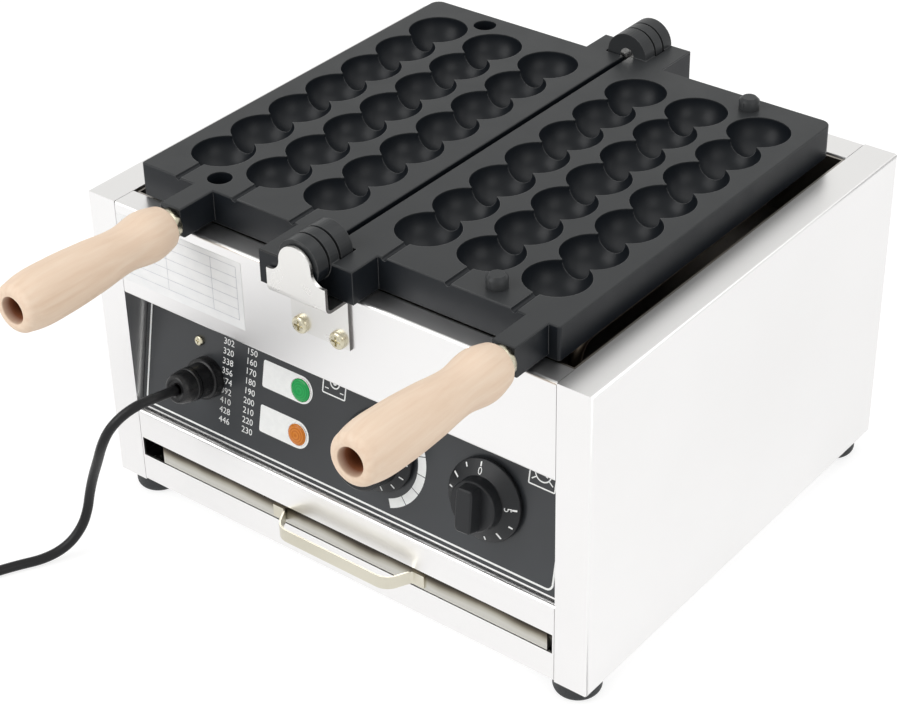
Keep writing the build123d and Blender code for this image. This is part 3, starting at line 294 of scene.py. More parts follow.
# Painted light and shade: the top face is painted lighter, and the sides and hollows below it darker.
painted_top_light = spread(coating, table_height(coating), 0.0, 1.0, face_z - top_light_start, face_z - top_light_full)
coating_lit_and_shaded = tones(coating, painted_top_light, (0.0, (0.008, 0.010, 0.013)), (1.0, (0.032, 0.034, 0.036)))
edge_tone = add(
    coating,
    "ShaderNodeMix",
    {"Factor": edge, 6: coating_lit_and_shaded, 7: (0.12, 0.122, 0.124, 1.0)},
    data_type="RGBA",
)
drive(coating, "Base Color", edge_tone.outputs[2])
drive(coating, "Roughness", spread(coating, clouds(coating, (40, 40, 40)), 0.31, 0.42))
relief(coating, pores, 0.02 * mm, 0.5, rounded_edge.outputs["Normal"])
finished(coating, "plate_left", "plate_right", "locating_pins")

# Handles: turned from beech and left bare. Each is bored for its rod, whose head lies deep in
# the wide end, and the end face shows fine rings from the lathe.
handle_stations = (0.0, 14.0, 35.0, 60.0, 86.0, 108.0, 120.0)
handle_radii = (13.2, 15.9, 13.8, 15.8, 17.2, 16.7, 14.2)
handle_root = [(10.2, 0.0), (11.6, 0.15), (12.7, 0.75), (13.5, 1.9)]
root_length = 3.5
handle_bore = 6.25
mouth_radius = 8.4
end_radius = 10.2
end_round = 5.0
ring_count, ring_pitch, ring_depth = 4, 0.3, 0.1
bore_depth = 42.0
bore_shade = 0.6
rod_hole = 4.1
collar_half = 3.0


def grid_mesh(name, grids, made, body, replaces=(), sharp=40.0):
    """One mesh from grids of points, rows by columns by three: each cell is a face.

    A grid comes with two marks, whether its rows and its columns close round."""
    points = []
    faces = []
    count = 0
    for grid, round_rows, round_columns in grids:
        rows, columns = grid.shape[:2]
        index = count + np.arange(rows * columns).reshape(rows, columns)
        if round_rows:
            index = np.vstack([index, index[:1]])
        if round_columns:
            index = np.hstack([index, index[:, :1]])
        corners = [index[:-1, :-1], index[:-1, 1:], index[1:, 1:], index[1:, :-1]]
        faces.append(np.stack(corners, axis=-1).reshape(-1, 4))
        points.append(grid.reshape(-1, 3))
        count += rows * columns
    mesh = bpy.data.meshes.new(name)
    mesh.from_pydata(np.concatenate(points).tolist(), [], np.concatenate(faces).tolist())
    return placed(name, mesh, made, body, replaces, sharp)


def placed(name, mesh, made, body, replaces=(), sharp=40.0):
    """Joins a mesh's doubled points, turns its faces outwards and puts it on its body."""
    joined = bmesh.new()
    joined.from_mesh(mesh)
    bmesh.ops.remove_doubles(joined, verts=joined.verts, dist=0.0005 * mm)
    bmesh.ops.dissolve_degenerate(joined, edges=joined.edges, dist=0.0001 * mm)
    bmesh.ops.recalc_face_normals(joined, faces=joined.faces)
    joined.to_mesh(mesh)
    joined.free()
    mesh.shade_smooth()
    mesh.set_sharp_from_angle(angle=radians(sharp))
    mesh.materials.append(made)
    piece = bpy.data.objects.new(name, mesh)
    bpy.context.scene.collection.objects.link(piece)
    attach(piece, body)
    if replaces:
        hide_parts(*replaces)
    return piece


def crosswise(axis):
    """Two unit directions square to an axis and to each other, the first as level as it can be."""
    level = np.cross(axis, (0.0, 0.0, 1.0))
    if np.linalg.norm(level) < 0.1:
        level = np.array((1.0, 0.0, 0.0))
    level = level / np.linalg.norm(level)
    return level, np.cross(level, axis)


def turned_grid(profile, origin, axis, steps=96, flute=None):
    """Surface of revolution: a profile of radius and height in mm, carried round an axis.

    flute(angle, height) is a share that the radius grows by at each place."""
    profile = np.array(profile, float)
    axis = np.array(axis, float) / np.linalg.norm(axis)
    level, upward = crosswise(axis)
    angle = np.arange(steps) * 2 * pi / steps
    radius = profile[:, :1] * np.ones(steps)
    if flute is not None:
        radius = radius * (1 + flute(angle[None, :], profile[:, 1:2]))
    height = profile[:, 1][:, None, None] * mm * axis
    spokes = np.cos(angle)[None, :, None] * level + np.sin(angle)[None, :, None] * upward
    return np.array(origin) + height + radius[:, :, None] * mm * spokes, False, True


def smooth_curve(places, values, fine):
    """Cubic Hermite curve through the values, with the slopes of their neighbours."""
    places = np.array(places, float)
    values = np.array(values, float)
    slopes = np.gradient(values, places)
    part = np.clip(np.searchsorted(places, fine, side="right") - 1, 0, len(places) - 2)
    width = places[part + 1] - places[part]
    t = (fine - places[part]) / width
    rise = (2 * t**3 - 3 * t**2 + 1) * values[part] + (3 * t**2 - 2 * t**3) * values[part + 1]
    return rise + width * ((t**3 - 2 * t**2 + t) * slopes[part] + (t**3 - t**2) * slopes[part + 1])


beech = finish("bare_beech", (0.86, 0.70, 0.53), 0.52, Specular_IOR_Level=0.35)
fibre = clouds(beech, (300, 16, 300), 4.0)
flecks = clouds(beech, (1600, 120, 1600), 2.0)
growth = clouds(beech, (60, 6, 60), 2.0)
depth = add(beech, "ShaderNodeAttribute", {}, attribute_name="bore")
pale = tones(
    beech, fibre, (0.25, (0.78, 0.585, 0.435)), (0.5, (0.83, 0.65, 0.50)), (0.75, (0.87, 0.71, 0.565))
)
shaded = add(
    beech,
    "ShaderNodeMix",
    {"Factor": spread(beech, growth, 0.0, 0.35), 6: pale, 7: (0.87, 0.66, 0.50, 1.0)},
    data_type="RGBA",
)
# Inside the bore the wood is painted dark brown as painted shade in the hollow.
bore_in_shade = add(
    beech,
    "ShaderNodeMix",
    {"Factor": depth.outputs["Fac"], 6: shaded.outputs[2], 7: (0.20, 0.065, 0.025, 1.0)},
    data_type="RGBA",
)
drive(beech, "Base Color", bore_in_shade.outputs[2])
drive(beech, "Roughness", spread(beech, fibre, 0.42, 0.62))
relief(beech, flecks, 0.05 * mm, 0.5)


def centre(node):
    """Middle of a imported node's box."""
    low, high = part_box(node)
    return np.array((low + high) / 2)


for side in ("left", "right"):
    collar = centre(f"handle_collar_{side}")
    along = centre(f"handle_{side}") - collar
    along = along / np.linalg.norm(along)
    tip = handle_stations[-1]
    fine = np.linspace(root_length, tip - end_round, 90)
    outside = np.stack([smooth_curve(handle_stations, handle_radii, fine), fine], axis=1)
    turn = np.linspace(0, pi / 2, 16)[1:]
    rim_width = outside[-1, 0] - end_radius
    rim_heights = tip - end_round * (1 - np.sin(turn))
    rim = np.stack([end_radius + rim_width * np.cos(turn), rim_heights], axis=1).tolist()
    rings = [
        (end_radius - ring_pitch * (step + 1), tip - ring_depth * (step % 2)) for step in range(ring_count)
    ]
    mouth = [
        (mouth_radius + 0.2, tip - 0.1), (mouth_radius - 0.3, tip - 0.8), (handle_bore + 0.5, tip - 4.6)
    ]
    bore = [(handle_bore, tip - drop) for drop in np.linspace(5.4, bore_depth, 12)]
    inside = [(rod_hole, tip - bore_depth), (rod_hole, 0.0)]
    profile = [*handle_root, *outside.tolist(), *rim, *rings, *mouth, *bore, *inside, handle_root[0]]
    grid = turned_grid(profile, collar + along * collar_half * mm, along, 112)
    handle = grid_mesh(
        f"turned_handle_{side}", [grid], beech, f"{side}_plate", (f"handle_{side}",), 35.0
    )
    points = np.empty(len(handle.data.vertices) * 3)
    handle.data.vertices.foreach_get("co", points)
    from_axis = points.reshape(-1, 3) - collar
    height = from_axis @ along
    radius = np.linalg.norm(from_axis - height[:, None] * along, axis=1)
    mark = handle.data.attributes.new("bore", "FLOAT", "POINT")
    inner = np.clip((mouth_radius * mm - radius) / (bore_shade * mm), 0, 1)
    mark.data.foreach_set("value", inner)

# Control label: satin dark film, printed in white, behind the knobs, lamps and cord gland. The
# print is a border, two lamp fields, a ring scale, two columns of numbers and two signs.
panel_foot = 4.0 * mm
case_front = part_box("front_apron")[0].y
panel_start = np.array((0.0, case_front + panel_foot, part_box("lower_frame")[1].z))
panel_axes = np.array(
    ((1, 0, 0), (0, sin(panel_lean), cos(panel_lean)), (0, -cos(panel_lean), sin(panel_lean)))
)
ink_rise = 0.06
ink_thickness = 0.05


def on_panel(points):
    """Places of points given in mm on the leaning panel: across, up and out of it."""
    return panel_start + np.asarray(points, float) * mm @ panel_axes


def flat(across, up, rise=ink_rise):
    """Grid on the panel from two arrays of the same shape, across and up, in mm."""
    return on_panel(np.stack([across, up, np.full(np.shape(across), rise)], axis=-1))


def stroke(start, stop, width, rise=ink_rise):
    """Straight printed line between two places on the panel."""
    start, stop = np.array(start, float), np.array(stop, float)
    aside = np.array((start[1] - stop[1], stop[0] - start[0]))
    aside = aside / np.linalg.norm(aside) * width / 2
    ends = np.array([[start - aside, start + aside], [stop - aside, stop + aside]])
    return flat(ends[..., 0], ends[..., 1], rise), False, False


def arc_band(middle, inner, outer, start, stop, rise=ink_rise, steps=40):
    """Band between two radii round a place on the panel, from one angle to another, in degrees."""
    angle = np.radians(np.linspace(start, stop, steps))[:, None]
    radius = np.array([[inner, outer]])
    return flat(middle[0] + radius * np.cos(angle), middle[1] + radius * np.sin(angle), rise), False, False


def frame_band(left, low, right, high, corner, width):
    """Printed line round a rectangle with round corners: each corner a quarter circle."""
    angle = np.radians(np.concatenate([np.linspace(a, a + 90, 9) for a in (0, 90, 180, 270)]))[:, None]
    middle_x = np.repeat([right - corner, left + corner, left + corner, right - corner], 9)[:, None]
    middle_y = np.repeat([high - corner, high - corner, low + corner, low + corner], 9)[:, None]
    radius = np.array([[corner - width, corner]])
    return flat(middle_x + radius * np.cos(angle), middle_y + radius * np.sin(angle)), True, False


def lamp_field(left, middle, round_x, half_height, corner=1.5):
    """White field of a lamp: small corners at the left and a half circle at the right."""
    across = np.concatenate([
        left + corner * (1 - np.cos(np.linspace(0, pi / 2, 9))),
        round_x + half_height * np.sin(np.linspace(0, pi / 2, 24)),
    ])
    into_corner = np.maximum(left + corner - across, 0)
    half = np.where(
        across > round_x,
        np.sqrt(np.maximum(half_height**2 - (across - round_x) ** 2, 0)),
        half_height - corner + np.sqrt(np.maximum(corner**2 - into_corner**2, 0)),
    )
    return flat(np.stack([across, across], 1), np.stack([middle - half, middle + half], 1)), False, False


def numbers(items, size, frame_of=on_panel, rise=ink_rise):
    """Mesh of plain numbers: each item is its text, place across and up, and turn in degrees."""
    joined = bmesh.new()
    for text, across, up, turn in items:
        curve = bpy.data.curves.new("number", "FONT")
        curve.body = text
        curve.size = size
        curve.align_x = "CENTER"
        curve.align_y = "CENTER"
        curve.resolution_u = 3
        drawn = bpy.data.objects.new("number", curve)
        mesh = bpy.data.meshes.new_from_object(drawn)
        bpy.data.objects.remove(drawn)
        bpy.data.curves.remove(curve)
        points = np.empty(len(mesh.vertices) * 3)
        mesh.vertices.foreach_get("co", points)
        points = points.reshape(-1, 3)
        c, s = cos(radians(turn)), sin(radians(turn))
        turned_points = points @ np.array(((c, s, 0), (-s, c, 0), (0, 0, 1)))
        world = frame_of(turned_points + (across, up, rise))
        mesh.vertices.foreach_set("co", world.ravel())
        joined.from_mesh(mesh)
        bpy.data.meshes.remove(mesh)
    mesh = bpy.data.meshes.new("numbers")
    joined.to_mesh(mesh)
    joined.free()
    return mesh


def inked(piece):
    """Gives a printed shape the thickness of its ink, and flat faces."""
    piece.data.shade_flat()
    film = piece.modifiers.new("ink", "SOLIDIFY")
    film.thickness = ink_thickness * mm
    film.offset = 0
    return piece


label = finish("label_film", (0.028, 0.031, 0.035), 0.32, Specular_IOR_Level=0.5)
weave = clouds(label, (2500, 2500, 2500), 1.0)
mottle(label, 9, (0.35, (0.022, 0.024, 0.027)), (0.65, (0.034, 0.038, 0.043)))
relief(label, weave, 0.012 * mm, 0.5)
dress(label, "control_label")

ink = finish("white_ink", (0.92, 0.93, 0.92), 0.45)
mottle(ink, 300, (0.3, (0.89, 0.90, 0.895)), (0.7, (0.94, 0.95, 0.94)))

scale_middle = (29.2, 43.4)
scale_inner, scale_outer = 28.8, 34.8
scale_first, scale_last, scale_pitch, scale_block = 60.4, -60.0, 22.0, 21.0
heat_sign, clock_sign = (-9.6, 75.0), (144.8, 76.0)
printing = [
    frame_band(-163.2, 5.0, 161.5, 86.5, 5.0, 1.3),
    lamp_field(-66.3, 61.25, -35.3, 9.25),
    lamp_field(-66.2, 30.5, -35.5, 9.3),
    frame_band(-19.0, 66.0, -0.6, 84.4, 1.2, 0.9),
    arc_band(heat_sign, 3.0, 3.9, 0, 360),
    arc_band(heat_sign, 0.0, 1.5, 0, 360),
    stroke((-17.0, 70.0), (-14.0, 70.0), 0.7),
    stroke((-5.2, 70.0), (-2.4, 70.0), 0.7),
    frame_band(135.2, 66.3, 154.3, 85.0, 1.2, 0.9),
    arc_band(clock_sign, 5.0, 5.9, 0, 360),
    stroke(clock_sign, (144.8, 80.0), 0.8),
    stroke(clock_sign, (148.0, 74.2), 0.8),
    stroke((137.4, 70.2), (140.2, 72.4), 0.8),
    stroke((152.2, 70.2), (149.4, 72.4), 0.8),
]
printing += [
    arc_band(scale_middle, scale_inner, scale_outer, start, start - scale_block)
    for start in np.arange(scale_first, scale_last, -scale_pitch)
]
inked(grid_mesh("label_printing", printing, ink, "case"))
edge_strip = [stroke((-165.8, 2.1), (165.8, 2.1), 1.1, 0.2)]
inked(grid_mesh("label_edge_strip", edge_strip, polished, "case"))

row_pitch = 6.77
row_up = 71.2
number_size = 6.1
columns = [
    (str(first + rise * row), across, row_up - row_pitch * row, 0)
    for first, rise, across in ((302, 18, -95.5), (150, 10, -76.2))
    for row in range(-1, 9)
]
inked(placed("label_numbers", numbers(columns, number_size), ink, "case"))

# Rating sticker: a blank white paper label with thin ruled lines, stuck on the left half of the
# front apron.
paper = finish("sticker_paper", (0.89, 0.90, 0.91), 0.38)
mottle(paper, 120, (0.3, (0.87, 0.88, 0.89)), (0.7, (0.92, 0.925, 0.93)))
ruling = finish("sticker_lines", (0.62, 0.63, 0.67), 0.5)
mottle(ruling, 200, (0.3, (0.56, 0.57, 0.62)), (0.7, (0.68, 0.69, 0.72)))
sticker_left, sticker_right = -165.5, -62.7
sticker_low, sticker_high = 170.5, 217.5
sticker_rise, sticker_thickness = 0.12, 0.14
rule_margin, rule_width, rule_rise = 4.0, 0.4, 0.24
first_column, last_column = 40.0, 25.0


def on_apron(points):
    """Places of points given in mm on the apron's face: across, height and out of it."""
    points = np.asarray(points, float) * mm
    return np.stack([points[..., 0], case_front - points[..., 2], points[..., 1]], axis=-1)


def apron_patch(left, low, right, high, rise):
    """Flat patch on the apron with a grid of a few cells."""
    across, up = np.meshgrid(np.linspace(left, right, 5), np.linspace(low, high, 4))
    return on_apron(np.stack([across, up, np.full(across.shape, rise)], axis=-1)), False, False


sheet_patch = apron_patch(sticker_left, sticker_low, sticker_right, sticker_high, sticker_rise)
sticker = grid_mesh("sticker", [sheet_patch], paper, "case")
inked(sticker).modifiers["ink"].thickness = sticker_thickness * mm
rule_rows = np.linspace(sticker_low + 6.0, sticker_high - rule_margin, 6)
rule_left, rule_right = sticker_left + rule_margin, sticker_right - rule_margin
rules = [apron_patch(rule_left, row, rule_right, row + rule_width, rule_rise) for row in rule_rows]
rules += [
    apron_patch(across, rule_rows[0], across + rule_width, rule_rows[-1] + rule_width, rule_rise)
    for across in (
        rule_left, sticker_left + first_column, sticker_right - last_column, rule_right - rule_width
    )
]
inked(grid_mesh("sticker_ruling", rules, ruling, "case"))

# Signal lamps: domed tinted lenses with fine rings moulded inside and a thin pale rim, each on
# its body behind the panel.
lamp_across = -35.2
lens_ring_pitch = 1.3
lens_edge, lens_dome = 0.5, 1.85
for colour, up, diameter, deep, light in (
    ("green", 61.0, 15.0, (0.003, 0.30, 0.065), (0.006, 0.40, 0.085)),
    ("amber", 30.6, 14.0, (0.56, 0.15, 0.008), (0.70, 0.23, 0.02)),
):
    lens = finish(
        f"{colour}_lens", light, 0.25, Coat_Weight=0.1, Coat_Roughness=0.1, Specular_IOR_Level=0.3
    )
    place = add(lens, "ShaderNodeTexCoord", {})
    middle = on_panel((lamp_across, up, 0.0))
    centring = {"Vector": place.outputs["Object"], "Location": tuple(-middle)}
    centred = add(lens, "ShaderNodeMapping", centring)
    distance = add(lens, "ShaderNodeVectorMath", {0: centred.outputs["Vector"]}, operation="LENGTH")
    per_ring = {0: distance.outputs["Value"], 1: 2 * pi / (lens_ring_pitch * mm)}
    rings = add(lens, "ShaderNodeMath", per_ring, operation="MULTIPLY")
    wave = add(lens, "ShaderNodeMath", {0: rings.outputs["Value"]}, operation="SINE").outputs["Value"]
    drive(lens, "Base Color", tones(lens, spread(lens, wave, 0, 1, -1, 1), (0.0, deep), (1.0, light)))
    relief(lens, wave, 0.03 * mm, 0.2)
    half = diameter / 2
    crown = [(half * cos(t), lens_edge + lens_dome * sin(t)) for t in np.linspace(0, pi / 2, 14)]
    grid = turned_grid([(half, 0.0), *crown], middle, panel_axes[2], 72)
    grid_mesh(f"lens_{colour}", [grid], lens, "case", (f"lamp_lens_{colour}",), 50.0)
    rim_profile = [
        (half + 0.02, 0.0), (half + 0.02, lens_edge), (half + 0.2, 0.7), (half + 0.6, 0.6),
        (half + 0.8, 0.0),
    ]
    rim = turned_grid(rim_profile, middle, panel_axes[2], 72)
    grid_mesh(f"lamp_rim_{colour}", [rim], bright, "case")

# Lamp bodies, timer, thermostat and terminals: black and grey mouldings behind the panel, on
# their screws or clips.
moulded = finish("moulded_black", (0.006, 0.006, 0.007), 0.32, Specular_IOR_Level=0.35)
fine_grit = clouds(moulded, (1800, 1800, 1800), 2.0)
drive(moulded, "Roughness", spread(moulded, fine_grit, 0.24, 0.40))
relief(moulded, fine_grit, 0.01 * mm)
finished(moulded, "lamp_body_upper", "lamp_body_lower")
fibre_grey = finish("control_housing", (0.30, 0.30, 0.31), 0.5)
relief(fibre_grey, clouds(fibre_grey, (900, 900, 900)), 0.03 * mm)
finished(fibre_grey, "timer_body", "thermostat_body", "terminal_block")

# Knobs: satin black mouldings pushed on their shafts. Both have a broad skirt with a printed
# scale; the timer has a straight grip bar, the thermostat a round fluted grip.
satin = finish("knob_moulding", (0.014, 0.015, 0.017), 0.40, Specular_IOR_Level=0.30)
drive(satin, "Roughness", spread(satin, clouds(satin, (1500, 1500, 1500), 2.0), 0.34, 0.48))
relief(satin, clouds(satin, (2200, 2200, 2200), 1.0), 0.008 * mm)
skirt_edge, edge_rise, skirt_slope = 25.4, 3.9, 0.375
hub_radius, grip_radius = 16.2, 19.5
timer_middle, dial_middle = (109.2, 45.4), (29.0, 45.4)


def skirt_height(radius):
    """Height of a skirt's cone over the panel at a radius: it rises straight to the grip."""
    return edge_rise + (skirt_edge - radius) * skirt_slope


def knob_skirt(middle, inner):
    """Skirt of a knob: a short rim, then a cone up to where its grip starts."""
    rim = [
        (3.1, 1.0), (24.6, 1.0), (25.6, 1.3), (26.0, 2.0), (26.0, 3.0), (25.8, 3.6), (skirt_edge, edge_rise)
    ]
    top = skirt_height(inner)
    root = [(inner + 1.0, skirt_height(inner + 1.0)), (inner + 0.3, top), (inner, top + 0.6)]
    return turned_grid([*rim, *root], on_panel((*middle, 0.0)), panel_axes[2], 120)


def bar_grid(middle, start, stop, wide, narrow, length, turn, steps=80):
    """Grip bar: rounded rectangles, |x/a|^n + |y/b|^n = 1, that narrow upwards and round over.

    The bar is turned to the left by an angle in degrees."""
    angle = np.arange(steps) * 2 * pi / steps
    rise = np.linspace(0, 1, 18)[:, None]
    shoulder = np.clip((rise - 0.9) / 0.1, 0, 1)
    inset = 1 - np.sqrt(1 - shoulder**2 * 0.999)
    half = wide + (narrow - wide) * rise**0.55 - 1.1 * inset
    reach = length - 0.6 * rise - 1.1 * inset
    power = 2 / 7
    across = half * np.sign(np.cos(angle)) * np.abs(np.cos(angle)) ** power
    up = reach * np.sign(np.sin(angle)) * np.abs(np.sin(angle)) ** power
    c, s = cos(radians(turn)), sin(radians(turn))
    across, up = across * c - up * s, across * s + up * c
    height = start + (stop - start) * rise + 0 * across
    sides = np.stack([middle[0] + across, middle[1] + up, height], axis=-1)
    shares = np.linspace(1, 0, 6)[1:, None]
    top = np.stack([
        middle[0] + shares * across[-1], middle[1] + shares * up[-1], np.full((5, steps), stop)
    ], axis=-1)
    return on_panel(np.concatenate([sides, top])), False, True


bar_foot, bar_top = 9.0, 24.0
bar_wide, bar_narrow, bar_length, bar_turn = 8.0, 5.8, 14.4, 4.0
hub_profile = [(hub_radius, 6.4), (16.0, 14.0), (15.7, 14.9), (15.0, 15.5), (9.0, 15.7), (0.0, 15.7)]
timer_grids = [
    knob_skirt(timer_middle, hub_radius),
    turned_grid(hub_profile, on_panel((*timer_middle, 0.0)), panel_axes[2], 120),
    bar_grid(timer_middle, bar_foot, bar_top, bar_wide, bar_narrow, bar_length, bar_turn),
]
grid_mesh("timer_grip", timer_grids, satin, "timer_knob", ("knob_timer",), 35.0)

rib_share, ribs_in_turn, rib_top = 0.018, 40, 20.5
grip_profile = [
    (grip_radius, 4.6), (grip_radius, 20.0), (19.2, 21.2), (18.0, 22.0), (12.0, 21.6), (0.0, 21.4)
]


def flutes(angle, height):
    """Fine ribs round the grip: a cosine wave in the radius, gone at its top."""
    return rib_share * (np.cos(ribs_in_turn * angle) - 1) * (height < rib_top) * (height > 0)


dial_grids = [
    knob_skirt(dial_middle, grip_radius),
    turned_grid(grip_profile, on_panel((*dial_middle, 0.0)), panel_axes[2], 240, flutes),
]
grid_mesh(
    "temperature_grip", dial_grids, satin, "temperature_knob", ("knob_temperature",), 35.0
)


def on_skirt(middle):
    """Places of points given in mm on a knob's skirt: across and up the panel, and out of the cone."""
    def place(points):
        points = np.array(points, float)
        points[..., 2] += skirt_height(np.hypot(points[..., 0] - middle[0], points[..., 1] - middle[1]))
        return on_panel(points)
    return place


tick_outer = 24.4
dial_tick_pitch, dial_tick_length, dial_tick_width = 24, 3.0, 0.9
timer_number_size = 6.2
timer_ticks = (
    (99.7, 2.6, 1.0), (7.2, 3.0, 1.1), (-22.5, 2.6, 1.0),
    (-50.7, 4.2, 1.2), (-78.5, 2.6, 1.0), (-107.0, 4.2, 1.2),
    (-132.0, 2.6, 1.0), (-156.5, 2.6, 1.0), (178.4, 2.6, 1.0),
    (154.2, 4.2, 1.2), (127.0, 2.6, 1.0),
)


def tick(middle, angle, outer, length, width):
    """Scale line on a skirt, at an angle in degrees from the right."""
    along = np.array((cos(radians(angle)), sin(radians(angle))))
    aside = np.array((-along[1], along[0])) * width / 2
    ends = np.array([
        [middle + along * reach + way * aside for way in (-1, 1)] for reach in (outer - length, outer)
    ])
    return on_skirt(middle)(np.dstack([ends, np.full((2, 2), ink_rise)])), False, False


scale_lines = [
    tick(timer_middle, angle, tick_outer, length, width) for angle, length, width in timer_ticks
]
inked(grid_mesh("timer_scale", scale_lines, ink, "timer_knob"))
scale_lines = [
    tick(dial_middle, angle, tick_outer, dial_tick_length, dial_tick_width)
    for angle in range(0, 360, dial_tick_pitch)
]
inked(grid_mesh("temperature_scale", scale_lines, ink, "temperature_knob"))
timer_numbers = [("0", 106.0, 64.1, 10), ("5", 127.9, 47.6, -83)]
timer_print = numbers(timer_numbers, timer_number_size, on_skirt(timer_middle))
inked(placed("timer_numbers", timer_print, ink, "timer_knob"))

# Cord gland: a moulded nylon bush through the panel with a fluted collar, and a tapered cap nut
# that grips the lead as it leaves.
gland_place = (-111.0, 42.0)
gland_middle = on_panel((*gland_place, 0.0))


def gland_flutes(angle, height):
    """Shallow flats round the collar, 16 to the turn, between 7 and 15 mm up."""
    return -0.03 * np.abs(np.sin(8 * angle)) * (height > 6.8) * (height < 15.2)


body_profile = [
    (0.0, 0.0), (12.8, 0.0), (13.5, 0.7), (13.5, 4.8), (12.9, 5.8), (11.2, 6.4), (11.0, 7.4),
    (11.0, 14.6), (10.4, 15.4), (9.6, 15.8), (9.6, 16.4), (0.0, 16.4),
]
nut_profile = [
    (9.8, 16.3), (10.7, 16.4), (11.0, 17.0), (10.9, 19.0), (10.2, 19.6), (10.15, 20.2), (10.8, 20.8),
    (10.6, 22.4), (9.9, 26.6), (9.0, 29.0), (8.2, 29.8), (7.0, 30.0), (5.2, 29.6), (4.2, 28.8),
    (3.4, 28.0), (3.3, 24.0),
]
grid_mesh(
    "gland_bush", [turned_grid(body_profile, gland_middle, panel_axes[2], 128, gland_flutes)],
    moulded, "case",
)
dress(moulded, "gland_body")
grid_mesh(
    "gland_cap", [turned_grid(nut_profile, gland_middle, panel_axes[2], 96)],
    moulded, "case", ("gland_nut",),
)

# Mains lead: a round black sheath, 6.5 mm, from the gland down to the table and along it. What
# the front view doesn't reach is wound in two layers of turns, and ends in the plug.
cord_diameter = 6.5
cord_route = [
    (-113.5, -37.0, 119.5),
    (-118.0, -46.0, 117.5),
    (-123.0, -54.5, 112.0),
    (-128.0, -60.5, 103.5),
    (-132.5, -63.5, 92.0),
    (-139.5, -62.0, 77.0),
    (-148.0, -60.0, 60.5),
    (-153.5, -60.0, 45.0),
    (-155.5, -62.0, 31.0),
    (-157.5, -67.0, 19.0),
    (-161.5, -77.0, 8.5),
    (-168.5, -91.0, 3.4),
    (-178.5, -107.0, 3.4),
    (-188.0, -126.5, 3.4),
    (-196.0, -147.0, 3.4),
    (-202.0, -168.0, 3.4),
]
route = [on_panel((*gland_place, rise)) for rise in (30.0, 40.0)]
route += [np.array((x * mm, case_front + depth * mm, height * mm)) for x, depth, height in cord_route]
heading = (route[-1] - route[-2]) / np.linalg.norm(route[-1] - route[-2])
sideways = np.array((heading[1], -heading[0], 0.0))
inward_radii = [40.0, 36.5, 33.0, 29.5]
climb_radius = 26.0
outward_radii = [29.5, 33.0, 36.5, 40.0, 43.5]
layer_rise = 7.0
coil_tail = 30.0
half_steps = 8
here = route[-1] + heading * cord_diameter * mm
for turn, radius in enumerate([*inward_radii, climb_radius, *outward_radii]):
    way = 1 if turn % 2 == 0 else -1
    across_turn = sideways * way
    if turn == len(inward_radii):
        climb = asin(layer_rise / (2 * climb_radius))
        across_turn = across_turn * cos(climb) + np.array((0.0, 0.0, sin(climb)))
    step = pi / half_steps
    wide = radius * mm / cos(step / 2)
    for angle in (np.arange(half_steps) + 0.5) * step:
        outwards = across_turn * (radius * mm - wide * cos(angle))
        route.append(here + outwards + heading * way * wide * sin(angle))
    here = here + across_turn * 2 * radius * mm
tail = -heading * way
route += [here + tail * reach * mm for reach in (10.0, 20.0, coil_tail)]

sheath = finish("cord_sheath", (0.006, 0.006, 0.007), 0.40, Specular_IOR_Level=0.3)
skin = clouds(sheath, (900, 900, 900), 2.0)
drive(sheath, "Roughness", spread(sheath, skin, 0.32, 0.48))
relief(sheath, skin, 0.02 * mm)
lead = bpy.data.curves.new("mains_lead", "CURVE")
lead.dimensions = "3D"
lead.bevel_depth = cord_diameter / 2 * mm
lead.bevel_resolution = 6
lead.use_fill_caps = True
line = lead.splines.new("NURBS")
line.points.add(len(route) - 1)
line.points.foreach_set("co", np.hstack([np.array(route), np.ones((len(route), 1))]).ravel())
line.order_u = 3
line.use_endpoint_u = True
line.resolution_u = 8
lead.materials.append(sheath)
cord = bpy.data.objects.new("mains_lead", lead)
bpy.context.scene.collection.objects.link(cord)
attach(cord, "case")
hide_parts("cord_free", "cord_coil")

# Plug: moulded on the end of the lead, with a ribbed neck, a flat body with round edges and two
# round pins.
plug_start = route[-1]
plug_up = np.array((0.0, 0.0, 1.0))
plug_side = np.cross(heading, plug_up)


def plug_section(half_wide, half_high, along, power, steps=72):
    """Ring |x/a|^n + |y/b|^n = 1 square to the plug's axis, at a distance along it in mm."""
    angle = np.arange(steps) * 2 * pi / steps
    across = half_wide * np.sign(np.cos(angle)) * np.abs(np.cos(angle)) ** (2 / power)
    up = half_high * np.sign(np.sin(angle)) * np.abs(np.sin(angle)) ** (2 / power)
    return plug_start + mm * (along * tail + across[:, None] * plug_side + up[:, None] * plug_up)


neck_length = 13.0
rib_pitch, rib_depth = 2.6, 0.45
neck_rings = [plug_section(3.3, 3.3, 0.0, 2.0)]
for place in np.linspace(0.0, neck_length, 27):
    swell = 4.2 + 1.2 * place / neck_length - rib_depth * (1 - cos(2 * pi * place / rib_pitch)) / 2
    neck_rings.append(plug_section(swell, swell, place, 2.0))
plug_length = 52.0
body_stations = (13.0, 14.2, 17.0, 24.0, 36.0, 46.0, 50.6, plug_length)
body_wide = (6.0, 9.0, 11.6, 13.2, 13.4, 13.2, 12.8, 11.6)
body_high = (5.4, 7.2, 8.6, 9.9, 10.2, 10.0, 9.6, 8.4)
for place in np.linspace(body_stations[0], body_stations[-1], 40):
    wide = np.interp(place, body_stations, body_wide)
    high = np.interp(place, body_stations, body_high)
    neck_rings.append(plug_section(wide, high, place, 4.0))
neck_rings.append(plug_section(0.01, 0.01, plug_length, 2.0))
plug_grid = (np.array(neck_rings), False, True)
plug_shape = grid_mesh("plug_moulding", [plug_grid], moulded, "case", ("plug",), 50.0)
pin_profile = [(2.3, 0.0), (2.4, 0.5), (2.4, 17.4), (2.0, 18.6), (1.0, 19.0), (0.0, 19.0)]
